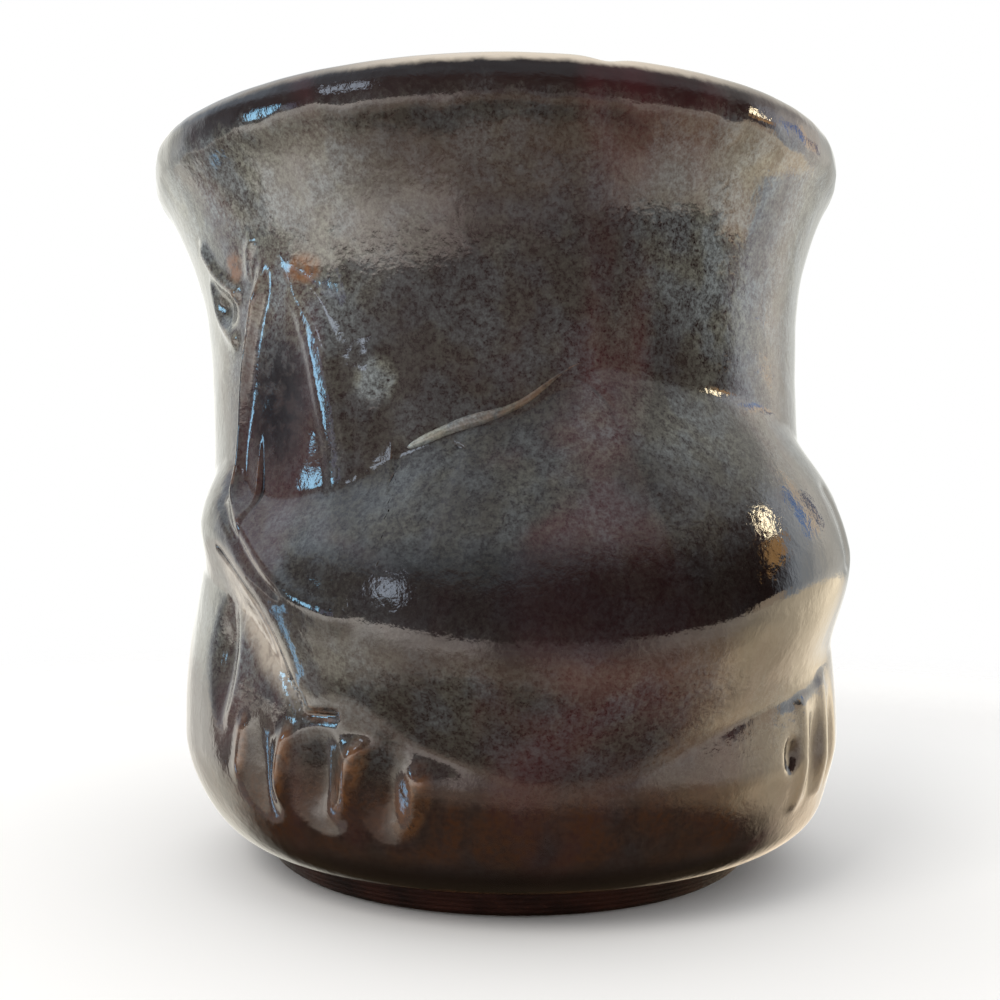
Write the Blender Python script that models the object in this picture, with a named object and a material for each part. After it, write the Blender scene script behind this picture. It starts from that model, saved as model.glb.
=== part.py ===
"""Fish mug: a thrown cup on a bare clay foot, with a fish laid round its front in relief and a strap handle.

The mug stands on the XY plane with the middle of its foot at the origin.  Its front faces -Y and its handle
points along +Y.  Lengths are metres, +Z is up.  A place on the wall is an angle round the mug in degrees,
0 at the front and growing towards +X, and a height above the table.
"""
import math

import bmesh
import bpy
import numpy as np

MM = 0.001

# Clearances
GAP = 0.30 * MM
SEAM_GAP = 0.35 * MM
MERGE_DISTANCE = 0.01 * MM

# Foot: a turned disc of bare clay, narrower at the table than at the cup
FOOT_RADIUS = 32.9 * MM
FOOT_TOP_RADIUS = 35.4 * MM
FOOT_HEIGHT = 3.6 * MM
FOOT_CHAMFER = 0.5 * MM

# Cup: heel over the foot, full belly, narrow waist and a flared lip
HEEL_RADIUS = 36.2 * MM
HEEL_ROLL = 0.6 * MM
HEEL_FULLNESS = 1.6
BELLY_RADIUS = 45.75 * MM
BELLY_HEIGHT = 18.0 * MM
WAIST_RADIUS = 41.15 * MM
WAIST_HEIGHT = 60.0 * MM
LIP_RADIUS = 48.1 * MM
CUP_HEIGHT = 96.6 * MM
LIP_DEPTH = 2.4 * MM
LIP_THICKNESS = 5.2 * MM
LIP_SQUARENESS = 0.8
WALL = 4.5 * MM
FLOOR = 5.0 * MM
INNER_CORNER = 9.0 * MM
RIM_SHIFT = -2.5 * MM
RIM_DIP = 0.6 * MM

# Fish: how far each part stands out from the wall
BELLY_RELIEF = 6.2 * MM
TAIL_RELIEF = 1.5 * MM
TAIL_EDGE_RELIEF = 2.4 * MM
TAIL_RAY_RELIEF = 0.9 * MM
THINNEST_CLAY = 1.0 * MM
BACK_FULLNESS = 2.4
UNDERSIDE_FULLNESS = 1.9
EDGE_EASE = 1.3

# Fish outline, as places on the wall: angle in degrees, height in metres
BACK_LINE = [(-76, 54.0 * MM), (-61, 54.5 * MM), (-42, 50.0 * MM), (-22, 53.0 * MM), (-10, 56.4 * MM),
             (0, 58.8 * MM), (10, 63.5 * MM), (31, 62.5 * MM), (58, 59.0 * MM), (80, 55.5 * MM),
             (97, 47.5 * MM)]
CREST_LINE = [(-76, 44.5 * MM), (-61, 44.6 * MM), (-42, 39.6 * MM), (-22, 37.0 * MM), (0, 35.0 * MM),
              (20, 36.4 * MM), (45, 41.5 * MM), (70, 43.6 * MM), (97, 41.5 * MM)]
UNDER_LINE = [(-80, 43.6 * MM), (-72, 40.8 * MM), (-62, 38.6 * MM), (-52, 36.8 * MM), (-42, 32.8 * MM),
              (-32, 25.6 * MM), (-10, 20.4 * MM), (0, 17.8 * MM), (10, 17.8 * MM), (31, 23.2 * MM),
              (58, 28.4 * MM), (80, 31.5 * MM), (97, 36.0 * MM)]
SWELL = [(-76, 0.10), (-61, 0.52), (-42, 0.63), (-22, 0.87), (0, 1.0), (45, 1.0), (70, 0.84),
         (90, 0.42), (97, 0.2)]

# Line where the tail fan meets the body, and the free edge of the fan
TAIL_SEAM = [(-80, 46.4 * MM), (-72, 48.8 * MM), (-64, 49.9 * MM), (-58, 49.6 * MM), (-52, 48.4 * MM),
             (-45, 44.2 * MM), (-38, 39.8 * MM), (-32, 36.8 * MM), (-28, 36.2 * MM), (-25, 40.0 * MM),
             (-22, 46.0 * MM), (-19, 52.5 * MM)]
TAIL_EDGE = [(-54, 52.5 * MM), (-52, 61.0 * MM), (-47, 69.5 * MM), (-43, 75.0 * MM), (-39, 79.5 * MM),
             (-36, 79.5 * MM), (-30, 77.5 * MM), (-24, 71.0 * MM), (-20.5, 62.0 * MM), (-19, 56.5 * MM)]
TAIL_RIM_RAY = [(-37, 80.0 * MM), (-46, 68.8 * MM), (-51, 61.4 * MM), (-53, 55.4 * MM), (-51, 49.8 * MM),
                (-41, 42.0 * MM), (-34, 38.2 * MM), (-28, 36.9 * MM)]
TAIL_MIDDLE_RAY = [(-38, 77.0 * MM), (-32, 69.4 * MM), (-29, 60.2 * MM), (-25, 56.5 * MM), (-18, 53.0 * MM)]
TAIL_FRONT_RAY = [(-25, 77.9 * MM), (-22, 67.8 * MM), (-20, 56.6 * MM)]
TAIL_RAY_WIDTH = 1.9 * MM
FIN_START = -17.5
FIN_END = 10
FIN_RADIUS = 0.9 * MM

# Joints between the fish's parts
BODY_START = -79
TAIL_START = -53.5
TAIL_END = -19.5
GILL = 13
GILL_BOW = 6
HEAD_END = 93

# Mouth and eye
MOUTH_LIP_HEIGHT = 5.6 * MM
MOUTH_LIP_DEPTH = 3.4 * MM
MOUTH_LIP_START = 93.6
MOUTH_LIP_END = 100.5
MOUTH_HEIGHT = 42.0 * MM
EYE_RADIUS = 2.4 * MM
EYE_THICKNESS = 1.3 * MM
EYE_ANGLE = 79
EYE_HEIGHT = 49.0 * MM

# Handle: a pulled strap, oval in section
HANDLE_TOP = 79.0 * MM
HANDLE_BOTTOM = 25.0 * MM
HANDLE_REACH = 35.0 * MM
HANDLE_RISE = 9.0 * MM
HANDLE_TUCK = 3.0 * MM
HANDLE_WIDTH = 20.0 * MM
HANDLE_FOOT_WIDTH = 15.0 * MM
HANDLE_THICKNESS = 8.5 * MM
HANDLE_FLARE = 1.35
HANDLE_FLARE_LENGTH = 11.5 * MM
HANDLE_SQUARENESS = 0.85

# Mesh fineness
CUP_STEPS = 72
LIP_STEPS = 7
BODY_GRID = (36, 15)
HEAD_GRID = (30, 14)
TAIL_GRID = (24, 20)
ROD_SIDES = 10
EYE_SIDES = 16

# Colours, linear
GLAZE = (0.035, 0.028, 0.027)
GLAZE_PALE = (0.075, 0.072, 0.066)
BARE_CLAY = (0.16, 0.045, 0.028)


def through(points, where):
    """Smooth curve through (position, value) points, read at every position at once.

    Each span is a cubic whose end slopes are the mean of the slopes on both sides of that point.
    """
    at, value = np.array(points, dtype=float).T
    slope = np.diff(value) / np.diff(at)
    tangent = np.concatenate(([slope[0]], (slope[:-1] + slope[1:]) / 2, [slope[-1]]))
    where = np.clip(where, at[0], at[-1])
    span = np.clip(np.searchsorted(at, where, side="right") - 1, 0, len(slope) - 1)
    step = at[span + 1] - at[span]
    t = (where - at[span]) / step
    return (value[span] * (1 + 2 * t) * (1 - t) ** 2
            + tangent[span] * step * t * (1 - t) ** 2
            + value[span + 1] * t ** 2 * (3 - 2 * t)
            - tangent[span + 1] * step * t ** 2 * (1 - t))


def spline(points, count):
    """Points spread along a smooth curve through control points, as an array of count rows."""
    points = np.array(points, dtype=float)
    t = np.linspace(0, len(points) - 1, count)
    knots = np.arange(len(points))
    return np.stack([through(np.stack([knots, column], axis=1), t) for column in points.T], axis=1)


def cup_bottom():
    """Height of the cup's underside."""
    return FOOT_HEIGHT + GAP


def lip_start():
    """Height where the outer wall ends and the rounded lip begins."""
    return CUP_HEIGHT - LIP_DEPTH


def wall_radius(z):
    """Outer radius of the bare wall at a height.

    From heel to belly it is a quarter of a superellipse, from belly to waist a half cosine wave, and from
    waist to lip a cube.
    """
    z = np.asarray(z, dtype=float)
    low = np.clip((BELLY_HEIGHT - z) / (BELLY_HEIGHT - cup_bottom()), 0, 1)
    heel = HEEL_RADIUS + (BELLY_RADIUS - HEEL_RADIUS) * (1 - low ** HEEL_FULLNESS) ** (1 / HEEL_FULLNESS)
    middle = np.clip((z - BELLY_HEIGHT) / (WAIST_HEIGHT - BELLY_HEIGHT), 0, 1)
    waist = WAIST_RADIUS + (BELLY_RADIUS - WAIST_RADIUS) * (0.5 + 0.5 * np.cos(math.pi * middle))
    high = np.clip((z - WAIST_HEIGHT) / (lip_start() - WAIST_HEIGHT), 0, 1)
    flare = WAIST_RADIUS + (LIP_RADIUS - WAIST_RADIUS) * high ** 3
    return np.where(z < BELLY_HEIGHT, heel, np.where(z < WAIST_HEIGHT, waist, flare))


def settle(radius, angle, z):
    """Point at a radius, angle and height, moved as the thrown cup leans: rim to -X and its front down."""
    a = np.radians(angle)
    share = z / CUP_HEIGHT
    x = radius * np.sin(a) + RIM_SHIFT * share ** 3
    y = -radius * np.cos(a)
    return np.stack(np.broadcast_arrays(x, y, z - RIM_DIP * share ** 8 * np.cos(a) ** 2), axis=-1)


def off_wall(angle, z, out):
    """Point that stands a distance out from the bare wall."""
    return settle(wall_radius(z) + out, angle, z)


def ray(points, angle, z):
    """Height of a ridge that follows points on the wall, 1 on its line and falling as a bell curve."""
    line = spline(points, 60)
    across = math.radians(1) * WAIST_RADIUS
    away = np.hypot((angle[..., None] - line[:, 0]) * across, z[..., None] - line[:, 1]).min(axis=-1)
    return np.exp(-(away / TAIL_RAY_WIDTH) ** 2)


def body_relief(angle, z):
    """How far belly and head stand out: most on the crest line, easing to nothing at back and underside."""
    back = through(BACK_LINE, angle)
    crest = through(CREST_LINE, angle)
    under = through(UNDER_LINE, angle)
    up = np.clip((z - crest) / (back - crest), 0, 1)
    down = np.clip((crest - z) / (crest - under), 0, 1)
    rounded = np.where(z > crest, 1 - up ** BACK_FULLNESS, 1 - down ** UNDERSIDE_FULLNESS)
    return BELLY_RELIEF * through(SWELL, angle) * rounded ** EDGE_EASE


def tail_relief(angle, z):
    """How far the tail fan stands out: a low sheet, a high rim ray and two lower rays."""
    rays = np.maximum(ray(TAIL_MIDDLE_RAY, angle, z), ray(TAIL_FRONT_RAY, angle, z))
    return TAIL_RELIEF + TAIL_EDGE_RELIEF * ray(TAIL_RIM_RAY, angle, z) + TAIL_RAY_RELIEF * rays


def material(name, colour, roughness):
    """Principled material of one colour."""
    made = bpy.data.materials.new(name)
    made.use_nodes = True
    shader = made.node_tree.nodes["Principled BSDF"]
    shader.inputs["Base Color"].default_value = (*colour, 1)
    shader.inputs["Roughness"].default_value = roughness
    return made


def add_object(name, mesh, colour, roughness):
    """Object for a finished mesh, with its own material and smooth round faces."""
    mesh.materials.append(material(name + "_finish", colour, roughness))
    mesh.shade_smooth()
    mesh.set_sharp_from_angle(angle=math.radians(40))
    part = bpy.data.objects.new(name, mesh)
    bpy.context.collection.objects.link(part)
    return part


def mesh_from_bmesh(name, shape):
    """Mesh from a bmesh, with doubles merged and faces turned outwards."""
    bmesh.ops.remove_doubles(shape, verts=shape.verts, dist=MERGE_DISTANCE)
    bmesh.ops.recalc_face_normals(shape, faces=shape.faces)
    mesh = bpy.data.meshes.new(name)
    shape.to_mesh(mesh)
    shape.free()
    return mesh


def turned(name, outline):
    """Closed solid turned from an outline of (radius, height) points that starts and ends on the axis."""
    shape = bmesh.new()
    points = [shape.verts.new((radius, 0, z)) for radius, z in outline]
    edges = [shape.edges.new(pair) for pair in zip(points, points[1:])]
    bmesh.ops.spin(shape, geom=points + edges, cent=(0, 0, 0), axis=(0, 0, 1),
                   angle=math.tau, steps=CUP_STEPS, use_merge=True)
    return mesh_from_bmesh(name, shape)


def settle_mesh(mesh):
    """Moves every vertex of a turned mesh as the cup leans."""
    for vertex in mesh.vertices:
        x, y, z = vertex.co
        vertex.co = settle(math.hypot(x, y), math.degrees(math.atan2(x, -y)), z)
    mesh.update()


def slab(name, outer, inner):
    """Closed solid between two grids of points of the same size, with a rim of faces round its edge."""
    rows, columns = outer.shape[:2]
    shape = bmesh.new()
    face, back = [[[shape.verts.new(point) for point in row] for row in grid] for grid in (outer, inner)]
    for i in range(rows - 1):
        for j in range(columns - 1):
            shape.faces.new((face[i][j], face[i + 1][j], face[i + 1][j + 1], face[i][j + 1]))
            shape.faces.new((back[i][j], back[i][j + 1], back[i + 1][j + 1], back[i + 1][j]))
    edge = [(i, 0) for i in range(rows)] + [(rows - 1, j) for j in range(1, columns)]
    edge += [(i, columns - 1) for i in range(rows - 2, -1, -1)] + [(0, j) for j in range(columns - 2, 0, -1)]
    for (a, b), (c, d) in zip(edge, edge[1:] + edge[:1]):
        shape.faces.new((face[a][b], back[a][b], back[c][d], face[c][d]))
    return mesh_from_bmesh(name, shape)


def clay_face(angle, z, relief):
    """Outer face of clay laid on the wall: it stands out by its relief, or by the thinnest clay if less."""
    return off_wall(angle, z, np.maximum(relief(angle, z), GAP + THINNEST_CLAY))


def laid_on(name, angle, z, relief):
    """Slab of clay laid on the wall over a grid of places."""
    return slab(name, clay_face(angle, z, relief), off_wall(angle, z, GAP))


def clear_of(line, angle, distance):
    """Height of a line at each angle, moved up by a distance that is measured square to the line."""
    step = 0.5
    rise = (through(line, angle + step) - through(line, angle - step)) / (2 * step)
    slope = rise / (math.radians(1) * WAIST_RADIUS)
    return through(line, angle) + distance * np.sqrt(1 + slope ** 2)


def upper_edge(angle):
    """Top edge of the body: under the tail fan's seam on the left, along the back line elsewhere."""
    joint = TAIL_SEAM[-1][0]
    return np.where(angle < joint, clear_of(TAIL_SEAM, angle, -SEAM_GAP / 2), through(BACK_LINE, angle))


def rod(name, path, half_width, half_depth):
    """Oval rod with closed ends along points on the wall, with its half width and half depth at each."""
    along = np.gradient(path, axis=0)
    along /= np.linalg.norm(along, axis=1)[:, None]
    side = np.cross(along, path * (1, 1, 0))
    side /= np.linalg.norm(side, axis=1)[:, None]
    lift = np.cross(side, along)
    turn = np.linspace(0, math.tau, ROD_SIDES, endpoint=False)[:, None]
    across = side * half_width[:, None]
    outward = lift * half_depth[:, None]
    rings = path[:, None] + np.cos(turn) * across[:, None] + np.sin(turn) * outward[:, None]
    shape = bmesh.new()
    rows = [[shape.verts.new(point) for point in ring] for ring in rings]
    for low, high in zip(rows, rows[1:]):
        for k in range(len(low)):
            shape.faces.new((low[k], low[k - 1], high[k - 1], high[k]))
    shape.faces.new(rows[0])
    shape.faces.new(rows[-1])
    return mesh_from_bmesh(name, shape)


def make_foot():
    """Turned foot, flat underneath, with a small chamfer at the table."""
    outline = [(0, 0), (FOOT_RADIUS - FOOT_CHAMFER, 0), (FOOT_RADIUS, FOOT_CHAMFER),
               (FOOT_TOP_RADIUS, FOOT_HEIGHT), (0, FOOT_HEIGHT)]
    return add_object("foot", turned("foot", outline), BARE_CLAY, 0.75)


def cup_outline():
    """Outline of the cup from the underside's middle, up the outside, over the lip and down to the floor."""
    bottom = cup_bottom()
    floor = bottom + FLOOR
    points = [(0, bottom), (HEEL_RADIUS - HEEL_ROLL, bottom)]
    heel = bottom + (BELLY_HEIGHT - bottom) * np.array([0.02, 0.07, 0.16, 0.3, 0.5, 0.75])
    wall = np.linspace(BELLY_HEIGHT, WAIST_HEIGHT, 9)
    shares = np.array([0.2, 0.4, 0.55, 0.68, 0.79, 0.88, 0.95, 1.0])
    flare = WAIST_HEIGHT + (lip_start() - WAIST_HEIGHT) * shares
    heights = np.concatenate([heel, wall, flare])
    points += list(zip(wall_radius(heights), heights))
    half = LIP_THICKNESS / 2
    for turn in np.linspace(0, math.pi, LIP_STEPS + 2)[1:-1]:
        out = math.copysign(abs(math.cos(turn)) ** LIP_SQUARENESS, math.cos(turn))
        up = math.sin(turn) ** LIP_SQUARENESS
        points.append((LIP_RADIUS - half + half * out, lip_start() + LIP_DEPTH * up))
    corner = floor + INNER_CORNER
    inside = np.linspace(lip_start(), corner, 13)
    share = np.clip((inside - WAIST_HEIGHT) / (lip_start() - WAIST_HEIGHT), 0, 1)
    thickness = WALL + (LIP_THICKNESS - WALL) * share
    points += list(zip(wall_radius(inside) - thickness, inside))
    reach = float(wall_radius(corner)) - WALL - INNER_CORNER
    for turn in np.linspace(0, math.pi / 2, 5)[1:]:
        points.append((reach + INNER_CORNER * math.cos(turn), corner - INNER_CORNER * math.sin(turn)))
    points.append((0, floor))
    return points


def make_cup():
    """Thrown cup with its floor, wall and lip, leaning a little as the hand left it."""
    mesh = turned("cup_wall", cup_outline())
    settle_mesh(mesh)
    return add_object("cup_wall", mesh, GLAZE, 0.12)


def fish_patch(start, end, start_bow, end_bow, columns, rows):
    """Grid of places on the wall between the fish's upper and lower edges, its ends bowed by some degrees."""
    u, v = np.meshgrid(np.linspace(0, 1, columns), np.linspace(0, 1, rows), indexing="ij")
    bow = np.sin(math.pi * v)
    angle = start + (end - start) * u + start_bow * bow * (1 - u) ** 2 + end_bow * bow * u ** 2
    upper = upper_edge(angle)
    return angle, upper + (through(UNDER_LINE, angle) - upper) * v


def make_body():
    """Belly of the fish, from the tail's lower tip to the gill line."""
    half_gap = math.degrees(SEAM_GAP / 2 / WAIST_RADIUS)
    places = fish_patch(BODY_START, GILL - half_gap, 0, GILL_BOW, *BODY_GRID)
    return add_object("fish_body", laid_on("fish_body", *places, body_relief), GLAZE_PALE, 0.12)


def make_head():
    """Head of the fish, from the gill line round the side to the mouth."""
    half_gap = math.degrees(SEAM_GAP / 2 / WAIST_RADIUS)
    places = fish_patch(GILL + half_gap, HEAD_END, GILL_BOW, 0, *HEAD_GRID)
    return add_object("fish_head", laid_on("fish_head", *places, body_relief), GLAZE_PALE, 0.12)


def make_tail():
    """Tail fan, from its seam with the body up to its free edge."""
    u, v = np.meshgrid(*[np.linspace(0, 1, count) for count in TAIL_GRID], indexing="ij")
    angle = TAIL_START + (TAIL_END - TAIL_START) * u
    lower = clear_of(TAIL_SEAM, angle, SEAM_GAP / 2)
    z = lower + (through(TAIL_EDGE, angle) - lower) * v
    return add_object("tail_fin", laid_on("tail_fin", angle, z, tail_relief), GLAZE_PALE, 0.12)


def make_back_fin():
    """Thin coil of clay that lies on the wall just above the fish's back."""
    angle = np.linspace(FIN_START, FIN_END, 18)
    z = clear_of(BACK_LINE, angle, SEAM_GAP + FIN_RADIUS)
    path = off_wall(angle, z, GAP + FIN_RADIUS)
    radii = FIN_RADIUS * np.sin(np.linspace(0.12, math.pi - 0.12, len(path))) ** 0.4
    return add_object("back_fin", rod("back_fin", path, radii, radii), GLAZE_PALE, 0.12)


def make_mouth_lip(name, side):
    """One lip of the mouth: a flat lobe above or below the mouth line, full at the head and round in front."""
    share = np.linspace(0, 0.99, 12)
    size = np.sqrt(1 - share ** 2) / 2
    angle = MOUTH_LIP_START + (MOUTH_LIP_END - MOUTH_LIP_START) * share
    z = MOUTH_HEIGHT + side * (GAP / 2 + MOUTH_LIP_HEIGHT * size)
    path = off_wall(angle, z, GAP + MOUTH_LIP_DEPTH * size)
    lobe = rod(name, path, MOUTH_LIP_HEIGHT * size, MOUTH_LIP_DEPTH * size)
    return add_object(name, lobe, GLAZE_PALE, 0.12)


def make_eye():
    """Eye: a flat pellet of clay on the side of the head, clear of the highest clay under its rim."""
    turn = np.linspace(0, math.tau, EYE_SIDES, endpoint=False)
    place = EYE_ANGLE + np.degrees(EYE_RADIUS * np.cos(turn) / WAIST_RADIUS)
    under_rim = clay_face(place, EYE_HEIGHT + EYE_RADIUS * np.sin(turn), body_relief)
    spot = clay_face(np.array(EYE_ANGLE), np.array(EYE_HEIGHT), body_relief)
    quarter = EYE_SIDES // 4
    across = under_rim[0] - under_rim[2 * quarter]
    outward = np.cross(across, under_rim[quarter] - under_rim[3 * quarter])
    outward /= np.linalg.norm(outward)
    across /= np.linalg.norm(across)
    up = np.cross(outward, across)
    circle = np.cos(turn)[:, None] * across + np.sin(turn)[:, None] * up
    levels = [(1.0, 0.0), (1.0, 0.45), (0.75, 0.85), (0.35, 1.0)]
    rise = max(0.0, float(((under_rim - spot) @ outward).max()))
    base = spot + outward * (GAP + rise)
    shape = bmesh.new()
    rings = [base + EYE_RADIUS * wide * circle + EYE_THICKNESS * high * outward for wide, high in levels]
    rows = [[shape.verts.new(point) for point in ring] for ring in rings]
    for low, high in zip(rows, rows[1:]):
        for k in range(len(low)):
            shape.faces.new((low[k - 1], low[k], high[k], high[k - 1]))
    shape.faces.new(rows[0])
    shape.faces.new(rows[-1])
    return add_object("eye", mesh_from_bmesh("eye", shape), GLAZE, 0.12)


def handle_path(count):
    """Centre line of the handle in the YZ plane: one cubic Bezier curve, ear-shaped, from root to root."""
    upper = np.array([float(wall_radius(HANDLE_TOP)) - WALL / 2, HANDLE_TOP])
    lower = np.array([float(wall_radius(HANDLE_BOTTOM)) - WALL / 2, HANDLE_BOTTOM])
    pull = (HANDLE_REACH + WALL / 2 - HANDLE_THICKNESS / 2) / 0.75
    over = upper + (1.08 * pull, HANDLE_RISE)
    under = lower + (0.92 * pull, -HANDLE_TUCK)
    t = np.linspace(0, 1, count)[:, None]
    return ((1 - t) ** 3 * upper + 3 * t * (1 - t) ** 2 * over
            + 3 * t ** 2 * (1 - t) * under + t ** 3 * lower)


def make_handle():
    """Pulled strap handle: an oval carried along an ear-shaped path, cut back to the wall's clearance."""
    path = handle_path(26)
    along = np.gradient(path, axis=0)
    along /= np.linalg.norm(along, axis=1)[:, None]
    t = np.linspace(0, 1, len(path))
    steps = np.linalg.norm(np.diff(path, axis=0), axis=1)
    reached = np.concatenate(([0], np.cumsum(steps)))
    from_root = np.minimum(reached, reached[-1] - reached)
    root = 1 + (HANDLE_FLARE - 1) * np.exp(-(from_root / HANDLE_FLARE_LENGTH) ** 2)
    wide = (HANDLE_WIDTH + (HANDLE_FOOT_WIDTH - HANDLE_WIDTH) * t) / 2 * root
    thick = HANDLE_THICKNESS / 2 * root
    turn = np.linspace(0, math.tau, 20, endpoint=False)
    flat = np.sign(np.cos(turn)) * np.abs(np.cos(turn)) ** HANDLE_SQUARENESS
    shape = bmesh.new()
    rings = []
    for (y, z), (run, rise), half, deep in zip(path, along, wide, thick):
        out = np.sin(turn) * deep
        ring = np.stack([flat * half, y - rise * out, z + run * out], axis=1)
        rings.append([shape.verts.new(point) for point in ring])
    for low, high in zip(rings, rings[1:]):
        for k in range(len(low)):
            shape.faces.new((low[k - 1], low[k], high[k], high[k - 1]))
    shape.faces.new(rings[0])
    shape.faces.new(rings[-1])
    handle = add_object("handle", mesh_from_bmesh("handle", shape), GLAZE, 0.12)
    handle.location.x = float(RIM_SHIFT * (HANDLE_TOP / CUP_HEIGHT) ** 3) / 2
    clearance = make_wall_cutter()
    cut = handle.modifiers.new("fit_to_wall", "BOOLEAN")
    cut.operation = "DIFFERENCE"
    cut.solver = "EXACT"
    cut.object = clearance
    return handle


def make_wall_cutter():
    """Cutter as big as the cup's outside and its clearance, which shapes the handle's roots."""
    heights = np.linspace(BELLY_HEIGHT / 2, lip_start(), 30)
    outline = [(0, heights[0])] + list(zip(wall_radius(heights) + GAP, heights)) + [(0, heights[-1])]
    mesh = turned("wall_clearance", outline)
    settle_mesh(mesh)
    cutter = bpy.data.objects.new("wall_clearance", mesh)
    bpy.context.collection.objects.link(cutter)
    cutter.hide_render = True
    cutter.display_type = "WIRE"
    return cutter


def main():
    """Clears the scene and makes every part of the mug."""
    for old in list(bpy.data.objects):
        bpy.data.objects.remove(old)
    make_foot()
    make_cup()
    make_body()
    make_head()
    make_tail()
    make_back_fin()
    make_mouth_lip("upper_lip", 1)
    make_mouth_lip("lower_lip", -1)
    make_eye()
    make_handle()


main()
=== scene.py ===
"""Looks of the fish mug: a hand-thrown, dark glazed cup with a fish laid round its front and a pulled handle.

A place on the wall is an angle in degrees, 0 at the front (-Y) and growing towards +X, and a height.  All
glazed clay on the wall reads one relief, so the fish grows out of the cup as clay that was smoothed on by
hand: the cup's own surface sinks away under the fish, and each piece of the fish laps a little into its
neighbours.
"""
import math

import bpy
import numpy as np
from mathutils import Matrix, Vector


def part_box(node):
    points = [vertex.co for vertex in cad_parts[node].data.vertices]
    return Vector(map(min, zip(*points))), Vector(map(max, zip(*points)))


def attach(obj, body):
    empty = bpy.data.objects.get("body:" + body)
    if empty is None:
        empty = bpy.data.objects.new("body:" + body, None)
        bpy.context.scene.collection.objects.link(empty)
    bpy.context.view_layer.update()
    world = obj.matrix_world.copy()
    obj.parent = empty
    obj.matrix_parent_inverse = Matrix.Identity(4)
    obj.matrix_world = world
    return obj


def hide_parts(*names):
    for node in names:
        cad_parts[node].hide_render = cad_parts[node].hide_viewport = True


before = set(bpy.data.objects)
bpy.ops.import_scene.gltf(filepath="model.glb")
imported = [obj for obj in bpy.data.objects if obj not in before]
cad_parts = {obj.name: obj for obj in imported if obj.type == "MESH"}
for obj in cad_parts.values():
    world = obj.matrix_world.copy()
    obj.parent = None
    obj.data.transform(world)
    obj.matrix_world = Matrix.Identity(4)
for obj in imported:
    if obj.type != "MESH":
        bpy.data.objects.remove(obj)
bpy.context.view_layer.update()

MM = 0.001

# Smallest number that is divided by, and the most that bend_of gives
TINY = 1e-12
SHARPEST_BEND = 2

# Cup, from the frame and in the sizes of its profile
CUP_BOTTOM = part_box("cup_wall")[0].z
CUP_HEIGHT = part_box("cup_wall")[1].z
FOOT_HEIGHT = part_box("foot")[1].z
HEEL_RADIUS = 36.2 * MM
HEEL_FULLNESS = 1.6
BELLY_RADIUS = 45.75 * MM
BELLY_HEIGHT = 18.0 * MM
WAIST_RADIUS = 41.15 * MM
WAIST_HEIGHT = 60.0 * MM
LIP_RADIUS = 48.1 * MM
LIP_DEPTH = 3.8 * MM
LIP_THICKNESS = 5.2 * MM
LIP_SQUARENESS = 0.8
LIP_START = CUP_HEIGHT - LIP_DEPTH
WALL = 4.5 * MM
FLOOR = 5.0 * MM
INNER_CORNER = 9.0 * MM
RIM_SHIFT = -2.5 * MM
RIM_DIP = 0.6 * MM
DEGREE = math.radians(1) * WAIST_RADIUS

# Foot
FOOT_RADIUS = 32.9 * MM
FOOT_TOP_RADIUS = 35.4 * MM

# Fish outline and swell, as places on the wall with heights in millimetres
BACK_LINE = [
    (-76, 54.0), (-61, 54.5), (-42, 50.0), (-22, 53.0), (-10, 56.4), (0, 58.8), (10, 63.5), (31, 62.5),
    (58, 59.0), (80, 55.5), (97, 47.5),
]
CREST_LINE = [
    (-76, 45.5), (-61, 46.6), (-50, 44.6), (-42, 40.4), (-22, 37.2), (0, 35.2), (20, 35.8), (45, 40.6),
    (70, 43.5), (97, 41.5),
]
UNDER_LINE = [
    (-80, 43.6), (-72, 40.8), (-62, 38.6), (-52, 36.8), (-42, 32.8), (-32, 25.6), (-10, 20.4), (0, 17.8),
    (10, 17.8), (31, 23.2), (58, 28.4), (80, 31.5), (97, 36.0),
]
SWELL = [
    (-76, 0.10), (-61, 0.52), (-42, 0.63), (-22, 0.87), (0, 1.0), (45, 1.0), (70, 0.84), (90, 0.42),
    (97, 0.2),
]
TAIL_SEAM = [
    (-80, 46.4), (-72, 48.8), (-64, 49.9), (-58, 49.6), (-52, 48.4), (-45, 44.2), (-38, 39.8), (-32, 36.8),
    (-28, 36.2), (-25, 40.0), (-22, 46.0), (-19, 52.5),
]
TAIL_EDGE = [
    (-54, 52.5), (-52, 61.0), (-47, 69.5), (-43, 75.0), (-39, 79.5), (-36, 79.5), (-30, 77.5), (-24, 71.0),
    (-20.5, 62.0), (-19, 56.5),
]
SHEET_EDGE = [
    (-53.5, 50.0), (-53.0, 57.0), (-51.5, 64.0), (-48.5, 71.0), (-45.5, 77.0), (-43.5, 80.0), (-40, 79.5),
    (-34, 77.0), (-25, 71.0), (-20.5, 62.0), (-19, 56.5),
]
BELLY_RELIEF = 6.2 * MM
BACK_FULLNESS = 2.4
UNDERSIDE_FULLNESS = 1.6
EDGE_EASE = 1.3
FISH_SOFTNESS = 1.1 * MM
TAIL_RELIEF = 1.5 * MM
BODY_EASE = (-1, 6)
HEAD_EASE = (-0.5, 5)
BODY_START = -79
TAIL_START = -53.5
TAIL_END = -19.5
GILL = 13
GILL_BOW = 6
HEAD_END = 93
TAIL_LEFT_SPAN = (49, 53)
TAIL_RIGHT_SPAN = (53, 60)
HEAD_END_SPAN = (35, 50)

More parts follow.
